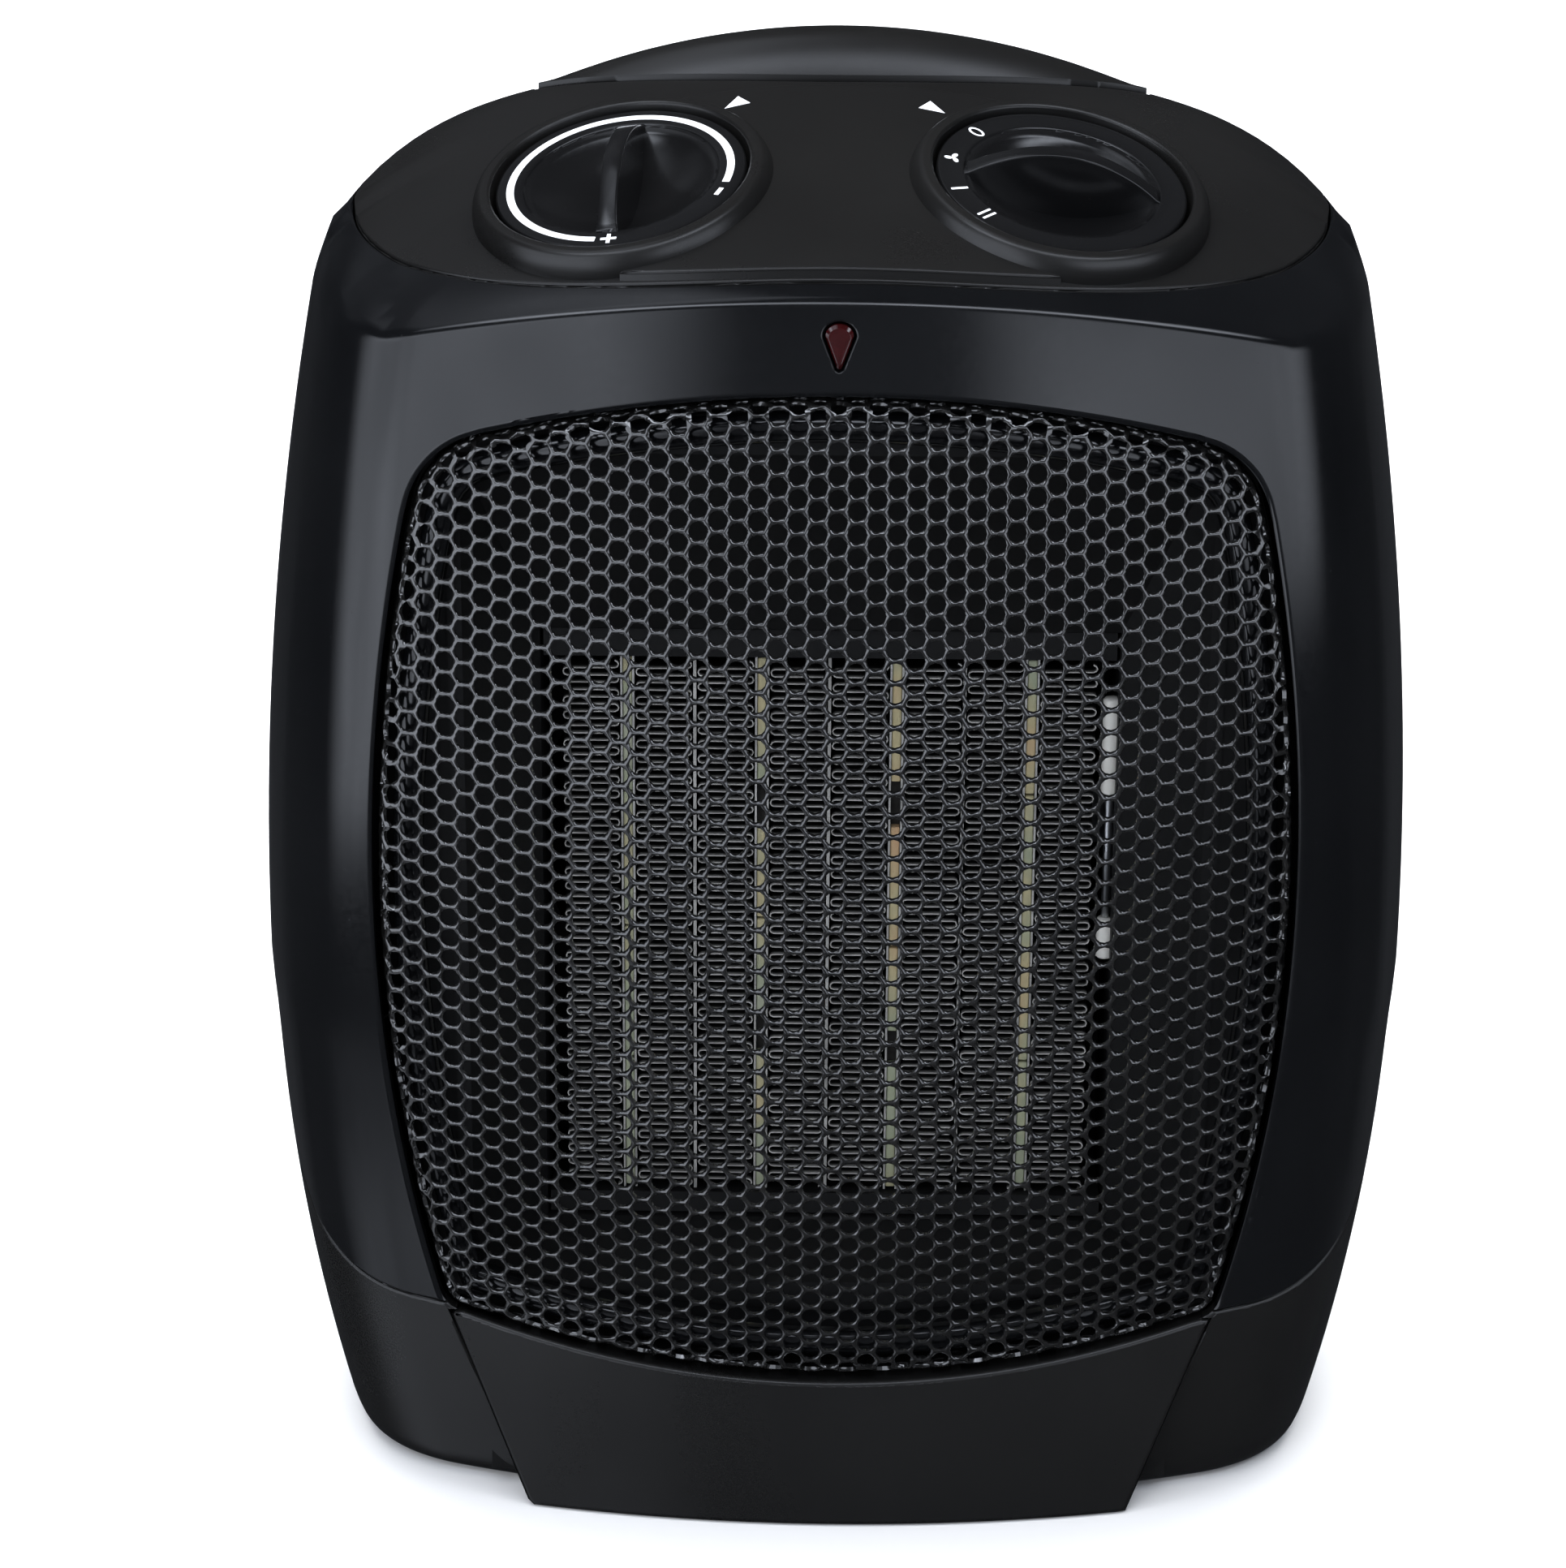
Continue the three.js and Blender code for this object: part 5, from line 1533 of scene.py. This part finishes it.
def moulded(name, dark, light, rough, grain, grain_depth, smudge):
    """Moulded black plastic: a fine mould grain, slow changes of gloss, faint dust and flow marks."""
    m = Nodes(name)
    flow = m.noise(22, 4)
    m.colour(m.ramp(flow, (0.3, dark), (0.75, light)))
    fine = m.noise(grain, 2)
    slow = m.noise(35, 3, m.stretched((1, 1, 0.4)))
    gloss = m.math("ADD", m.spread(slow, 0.3, 0.7, *rough), m.spread(fine, 0.35, 0.65, -0.02, 0.02))
    dust = m.spread(m.cells(260), 0.0, 0.06, smudge, 0.0)
    m.roughness(m.math("ADD", gloss, dust))
    m.bump(fine, 0.35, grain_depth)
    return m.material


# The black plastics: two ends of the colour and of the gloss, the grain's scale and depth in mm, and dust.
MOULDED = {
    "gloss_black": ((0.0022, 0.0024, 0.0029), (0.0036, 0.0039, 0.0045), (0.10, 0.16), 900, 0.002, 0.25),
    "satin_black": ((0.0050, 0.0049, 0.0049), (0.0072, 0.0071, 0.0070), (0.27, 0.35), 3200, 0.010, 0.1),
    "dial_black": ((0.0035, 0.0036, 0.0040), (0.0055, 0.0056, 0.0060), (0.12, 0.2), 1200, 0.002, 0.3),
    "duct_black": ((0.0022, 0.0022, 0.0023), (0.0036, 0.0035, 0.0035), (0.5, 0.62), 1400, 0.01, 0.15),
}


def finish(name, tone, gloss, relief, **fixed):
    """A plain finish with the mottling, gloss changes and fine relief of a real part.

    Each of the three starts with the scale and the detail of its noise. The tone goes on with stops of
    (level, colour), the gloss with two ends of the roughness, the relief with a strength and a depth in mm.
    """
    m = Nodes(name)
    m.colour(m.ramp(m.noise(*tone[:2]), *tone[2:]))
    m.roughness(m.spread(m.noise(*gloss[:2]), 0.3, 0.7, *gloss[2:]))
    m.bump(m.noise(*relief[:2]), *relief[2:])
    m.fixed(**fixed)
    return m.material


def grille_black():
    """Black enamel on punched steel."""
    return finish("grille_black", (60, 3, (0.3, (0.004, 0.004, 0.004)), (0.7, (0.00816, 0.008, 0.00784))),
                  (140, 4, 0.10, 0.2), (1500, 2, 0.3, 0.004),
                  Coat_Weight=1.0, Coat_Roughness=0.08, Coat_IOR=1.6, IOR=1.6)


def fin_aluminium():
    """Thin rolled aluminium, a little dulled, with draw lines along the strip, a painted highlight on the
    front edges and painted shade behind them.
    """
    m = Nodes("fin_aluminium")
    lines = m.noise(420, 3, m.stretched((0.2, 1, 3)))
    depth = m.node("ShaderNodeSeparateXYZ")
    m.link(m.place, depth.inputs["Vector"])
    # painted highlight and painted shade: the colour is bright within about 2 mm of the element's front and
    # falls to near black deeper in
    edge = m.spread(depth.outputs["Y"], (ELEMENT_FRONT + 0.3) * MM, (ELEMENT_FRONT + 2.2) * MM, 1, 0)
    shade = m.math("MULTIPLY", edge, m.spread(m.noise(160, 4), 0.25, 0.8, 0.6, 1))
    m.colour(m.ramp(shade, (0, (0.008, 0.008, 0.008)), (0.35, (0.03, 0.03, 0.029)), (1, (0.6, 0.6, 0.58))))
    m.roughness(m.spread(lines, 0.3, 0.7, 0.25, 0.42))
    m.bump(lines, 0.3, 0.02)
    m.fixed(Metallic=0.35)
    return m.material


def ptc_ceramic():
    """Fired stones whose colour changes from tan to grey green along each bar, with dark specks."""
    m = Nodes("ptc_ceramic")
    bands = m.noise(38, 2, m.stretched((1.6, 0.2, 1)))
    specks = m.spread(m.cells(900), 0.02, 0.14, 0.35, 0.0)
    tone = m.ramp(bands, (0.30, (0.42, 0.27, 0.15)), (0.45, (0.38, 0.33, 0.19)),
                  (0.58, (0.26, 0.29, 0.20)), (0.75, (0.33, 0.34, 0.27)))
    mix = m.node("ShaderNodeMixRGB")
    mix.inputs["Color2"].default_value = (0.12, 0.09, 0.06, 1)
    m.link(specks, mix.inputs["Fac"])
    m.link(tone, mix.inputs["Color1"])
    m.colour(mix.outputs["Color"])
    m.roughness(m.spread(m.noise(500, 3), 0.3, 0.7, 0.55, 0.8))
    m.bump(m.noise(1800, 3), 0.5, 0.05)
    return m.material


# Plain finishes, as for speckled().
PLAIN = {
    "white": ("white_insulator", (0.66, 0.66, 0.63), (0.80, 0.80, 0.77), (0.35, 0.5)),
    "steel": ("plated_steel", (0.42, 0.43, 0.44), (0.62, 0.63, 0.64), (0.25, 0.42), 1.0, 180),
    "brass": ("bearing_brass", (0.50, 0.34, 0.12), (0.66, 0.48, 0.20), (0.28, 0.42), 1.0, 200),
    "rubber": ("foot_rubber", (0.012, 0.012, 0.012), (0.022, 0.022, 0.022), (0.7, 0.88), 0.0, 260, 0.03),
    "resin": ("switch_resin", (0.030, 0.026, 0.022), (0.052, 0.046, 0.040), (0.5, 0.66), 0.0, 150, 0.02),
    "spacer": ("dark_spacer", (0.010, 0.009, 0.008), (0.022, 0.020, 0.018), (0.6, 0.8), 0.0, 400, 0.03),
    "red wire": ("red_wire", (0.30, 0.02, 0.02), (0.42, 0.035, 0.03), (0.35, 0.5), 0.0, 240, 0.02),
    "white wire": ("white_wire", (0.60, 0.60, 0.58), (0.74, 0.74, 0.71), (0.35, 0.5), 0.0, 240, 0.02),
}


def speckled(name, dark, light, rough, metallic=0.0, scale=120, depth=0.01):
    """A plain finish whose three noises follow from one scale."""
    return finish(name, (scale, 4, (0.3, dark), (0.72, light)), (scale * 2.3, 4, *rough),
                  (scale * 11, 3, 0.35, depth), Metallic=metallic)


def lens_red():
    """Dark red translucent plastic, nearly black when the lamp is off."""
    return finish("lens_red", (160, 3, (0.3, (0.012, 0.0008, 0.001)), (0.7, (0.024, 0.0016, 0.002))),
                  (300, 3, 0.08, 0.16), (500, 2, 0.25, 0.01), Coat_Weight=0.6, Coat_Roughness=0.05)


def printed_white():
    """Screen print: white ink with a slightly uneven laydown."""
    return finish("printed_white", (700, 4, (0.3, (0.72, 0.75, 0.80)), (0.7, (0.83, 0.85, 0.90))),
                  (900, 3, 0.4, 0.55), (2500, 2, 0.3, 0.01))


def copper_coil():
    """Enamelled wire, layer on layer, with painted shade in the grooves between the turns."""
    m = Nodes("copper_coil")
    wave = m.node("ShaderNodeTexWave", wave_type="BANDS", bands_direction="X")
    wave.inputs["Scale"].default_value = 620
    wave.inputs["Distortion"].default_value = 0.4
    m.link(m.place, wave.inputs["Vector"])
    # painted shade: the colour follows the bump's bands and darkens in the grooves between the turns
    m.colour(m.ramp(wave.outputs["Fac"], (0.1, (0.20, 0.06, 0.02)), (0.7, (0.58, 0.24, 0.09))))
    m.roughness(m.spread(m.noise(300, 3), 0.3, 0.7, 0.22, 0.38))
    m.bump(wave.outputs["Fac"], 0.8, 0.2)
    m.fixed(Metallic=0.85)
    return m.material


def make_materials():
    paint = {name.removesuffix("_black"): moulded(name, *values) for name, values in MOULDED.items()}
    paint |= {name: speckled(*values) for name, values in PLAIN.items()}
    return paint | {
        "grille": grille_black(),
        "fins": fin_aluminium(),
        "stones": ptc_ceramic(),
        "copper": copper_coil(),
        "lens": lens_red(),
        "ink": printed_white(),
    }


def dress(obj, material, body="case"):
    """Finishes a new piece: its material and the body that it rides on."""
    obj.data.materials.clear()
    obj.data.materials.append(material)
    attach(obj, body)
    return obj


def finish_node(name, material):
    """A better material on a CAD node that is kept."""
    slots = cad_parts[name].material_slots
    if not slots:
        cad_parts[name].data.materials.append(material)
    for slot in slots:
        slot.material = material


# ------------------------------------------------------------------ stage, lights and camera
def make_stage(material):
    """A pale floor that curves up into a wall behind."""
    turn = np.linspace(0, math.pi / 2, 24)
    radius, back, high, front = 700.0, 1500.0, 3200.0, -2600.0
    curve = [(back - radius + radius * math.sin(t), radius - radius * math.cos(t)) for t in turn]
    profile = [(front, 0.0), *curve, (back, high)]
    points, half = [], 3200.0
    for x in (-half, half):
        points += [(x, y, z) for y, z in profile]
    n = len(profile)
    faces = [(k, k + n, k + n + 1, k + 1) for k in range(n - 1)]
    floor = add_object("studio_floor", points, faces)
    floor.data.materials.append(material)
    floor.visible_glossy = False


def floor_material():
    return finish("studio_paper", (6, 3, (0.3, (0.86, 0.86, 0.86)), (0.7, (0.89, 0.89, 0.89))),
                  (40, 3, 0.8, 0.9), (900, 3, 0.1, 0.05))


def area_light(name, place, target, size, power):
    """A large soft lamp that lights the room and the case's matt side, and isn't mirrored in its gloss."""
    data = bpy.data.lights.new(name, "AREA")
    data.shape = "RECTANGLE"
    data.size, data.size_y = size
    data.energy = power
    light = bpy.data.objects.new(name, data)
    light.location = place
    light.rotation_euler = (Vector(target) - Vector(place)).to_track_quat("-Z", "Y").to_euler()
    light.visible_glossy = False
    bpy.context.scene.collection.objects.link(light)


def make_lights():
    middle = (0, 0, 0.12)
    area_light("overhead_softbox", (0, 0.1, 1.7), middle, (1.8, 1.4), 46)
    area_light("front_softbox", (-0.5, -1.5, 0.9), middle, (0.9, 0.7), 9)
    area_light("backdrop_light", (0, 0.6, 1.6), (0, 1.5, 0.5), (2.4, 0.5), 26)


# Windows of the room round the case, in degrees: azimuth from and to, positive to the right of the
# front, elevation from and to, how softly they end across and up, and how bright they are.
WINDOWS = [
    (-80, -17, -19, 27, 9, 4, 1.95),
    (17, 72, -4, 26, 7, 5, 1.55),
    (-62, 70, 45, 55, 14, 4, 5.5),
    (-130, -30, 58, 88, 14, 14, 1.0),
    (-95, -35, -64, -34, 12, 8, 0.52),
    (-60, 30, -25, 44, 30, 16, 0.1),
    (-165, -112, 30, 60, 10, 9, 0.1),
    (112, 165, 30, 60, 10, 9, 0.03),
]
ROOM = 0.035  # how bright the rest of the room is


def make_world():
    """A dim room with soft windows that the gloss mirrors. The camera itself sees white round the paper."""
    world = bpy.data.worlds.new("studio")
    world.use_nodes = True
    room = Tree(world.node_tree)
    direction = room.node("ShaderNodeTexCoord").outputs["Generated"]
    split = room.node("ShaderNodeSeparateXYZ")
    room.link(direction, split.inputs[0])
    x, y, z = split.outputs
    azimuth = room.math("DEGREES", room.math("ARCTAN2", x, room.math("MULTIPLY", y, -1.0)))
    elevation = room.math("DEGREES", room.math("ARCSINE", z))
    light = ROOM
    for left, right, low, high, soft_x, soft_z, level in WINDOWS:
        inside = 1.0
        for angle, start, end, soft in ((azimuth, left, right, soft_x), (elevation, low, high, soft_z)):
            opens = room.spread(angle, start - soft, start + soft, 0, 1, "SMOOTHSTEP")
            shuts = room.spread(angle, end - soft, end + soft, 1, 0, "SMOOTHSTEP")
            inside = room.math("MULTIPLY", inside, room.math("MULTIPLY", opens, shuts))
        light = room.math("ADD", light, room.math("MULTIPLY", inside, level))
    clouds = room.node("ShaderNodeTexNoise")
    clouds.inputs["Scale"].default_value = 3.0
    room.link(direction, clouds.inputs["Vector"])
    light = room.math("MULTIPLY", light, room.spread(clouds.outputs["Fac"], 0.35, 0.65, 0.75, 1.2))
    seen = room.tree.nodes["Background"]
    seen.inputs["Color"].default_value = (0.90, 0.96, 1.08, 1)
    room.link(light, seen.inputs["Strength"])
    white = room.node("ShaderNodeBackground")
    either = room.node("ShaderNodeMixShader")
    room.link(room.node("ShaderNodeLightPath").outputs["Is Camera Ray"], either.inputs[0])
    room.link(seen.outputs[0], either.inputs[1])
    room.link(white.outputs[0], either.inputs[2])
    room.link(either.outputs[0], room.tree.nodes["World Output"].inputs["Surface"])
    white.inputs["Color"].default_value = (1, 1, 1, 1)
    bpy.context.scene.world = world


CAMERA_PITCH, CAMERA_ROLL, CAMERA_YAW = 20, 0.6, 0.686  # degrees
CAMERA_DISTANCE, CAMERA_AIM, CAMERA_LENS = 706.7, (0, -40.04, 123.04), 99.63


def make_camera():
    """Looks down at twenty degrees from 0.7 m, a little to the left of the case, with a slight roll."""
    pitch, roll, yaw = (math.radians(angle) for angle in (CAMERA_PITCH, CAMERA_ROLL, CAMERA_YAW))
    ahead = Vector((0, math.cos(pitch), -math.sin(pitch)))
    up = Vector((0, math.sin(pitch), math.cos(pitch)))
    across = Vector((1, 0, 0))
    right = across * math.cos(roll) + up * math.sin(roll)
    up = up * math.cos(roll) - across * math.sin(roll)
    place = (Vector(CAMERA_AIM) - ahead * CAMERA_DISTANCE) * MM
    look = ahead * math.cos(yaw) - right * math.sin(yaw)
    right = right * math.cos(yaw) + ahead * math.sin(yaw)
    data = bpy.data.cameras.new("camera")
    data.sensor_width = 36
    data.lens = CAMERA_LENS
    data.clip_start, data.clip_end = 0.05, 20
    camera = bpy.data.objects.new("camera", data)
    turn = Matrix((right, up, -look)).transposed().to_4x4()
    camera.matrix_world = Matrix.Translation(place) @ turn
    bpy.context.scene.collection.objects.link(camera)
    bpy.context.scene.camera = camera


# ------------------------------------------------------------------ assembly
def main():
    paint = make_materials()
    front, rear, cover, tray = make_casings()
    for shell, material, node in ((front, "gloss", "front_housing"), (rear, "satin", "rear_housing"),
                                  (cover, "satin", "top_cover"), (tray, "satin", "base_tray")):
        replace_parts(dress(shell, paint[material]), node)

    handle = dress(make_handle(), paint["satin"])
    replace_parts(handle, "handle")

    for side, name, body, turn in (("left", "thermostat_knob", "thermostat_dial", -7),
                                   ("right", "mode_knob", "mode_dial", 90)):
        dial = make_dial(name, KNOBS[side], turn)
        dial.name = name + "_dial"
        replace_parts(dress(dial, paint["dial"], body), name)
    heat_marks, mode_marks = make_marks()
    dress(heat_marks, paint["ink"], "thermostat_dial")
    dress(mode_marks, paint["ink"], "mode_dial")

    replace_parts(dress(make_apron(), paint["satin"]), "front_apron")
    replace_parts(dress(make_lens(), paint["lens"]), "indicator_lens")
    dress(make_pointers(), paint["ink"])
    dress(make_retainer(), paint["gloss"])
    sleeves, link = make_cutoff()
    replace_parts(dress(sleeves, paint["white"]), "thermal_cutoff")
    dress(link, paint["steel"])
    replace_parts(dress(make_grip_cup(), paint["satin"]), "grip_cup")
    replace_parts(dress(make_gland(), paint["rubber"]), "cord_gland")
    for place, (x, y) in FEET.items():
        foot = make_foot("foot_" + place, x, y)
        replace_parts(dress(foot, paint["rubber"]), "foot_" + place)
    for place, (x, z) in SCREW_PLACES.items():
        screw = make_screw(place, x, z)
        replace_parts(dress(screw, paint["steel"]), "screw_" + place)
    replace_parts(dress(make_fan(), paint["duct"], "fan"), "fan_blade")

    grille = dress(make_grille(), paint["grille"])
    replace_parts(grille, "front_grille")

    for number in range(1, 5):
        centre = ELEMENT_LEFT + (number - 0.5) * BAR_PITCH
        electrodes, stones, spacers = make_bar(number, centre)
        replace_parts(dress(stones, paint["stones"]), f"ptc_bar_{number}")
        dress(electrodes, paint["fins"])
        dress(spacers, paint["spacer"])
        edge = BAR_WIDTH / 2
        for pack, x0, x1 in ((2 * number - 1, centre - edge - FIN_WIDTH, centre - edge),
                             (2 * number, centre + edge, centre + edge + FIN_WIDTH)):
            fins = dress(make_fins(f"corrugated_fins_{pack}", x0, x1), paint["fins"])
            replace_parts(fins, f"fin_pack_{pack}")

    finishes = {
        "duct": ["air_duct", "fan_shroud", "element_frame_top", "element_frame_bottom"],
        "fins": ["separator_plate_1", "separator_plate_2", "separator_plate_3", "motor_rotor"],
        "white": ["neon_lamp", "mode_switch_shaft", "tip_switch_plunger", "terminal_block",
                  "thermostat_body"],
        "steel": ["fan_shaft", "motor_stator", "motor_bracket", "motor_rear_bridge"],
        "copper": ["motor_coil"],
        "brass": ["thermostat_shaft", "bearing_front", "bearing_rear"],
        "resin": ["mode_switch_body", "tip_switch_body"],
        "red wire": ["thermostat_lead"],
        "white wire": ["switch_lead"],
    }
    for material, nodes in finishes.items():
        for node in nodes:
            finish_node(node, paint[material])

    make_stage(floor_material())
    make_lights()
    make_world()
    make_camera()
    bpy.context.scene.view_settings.view_transform = "Standard"


main()
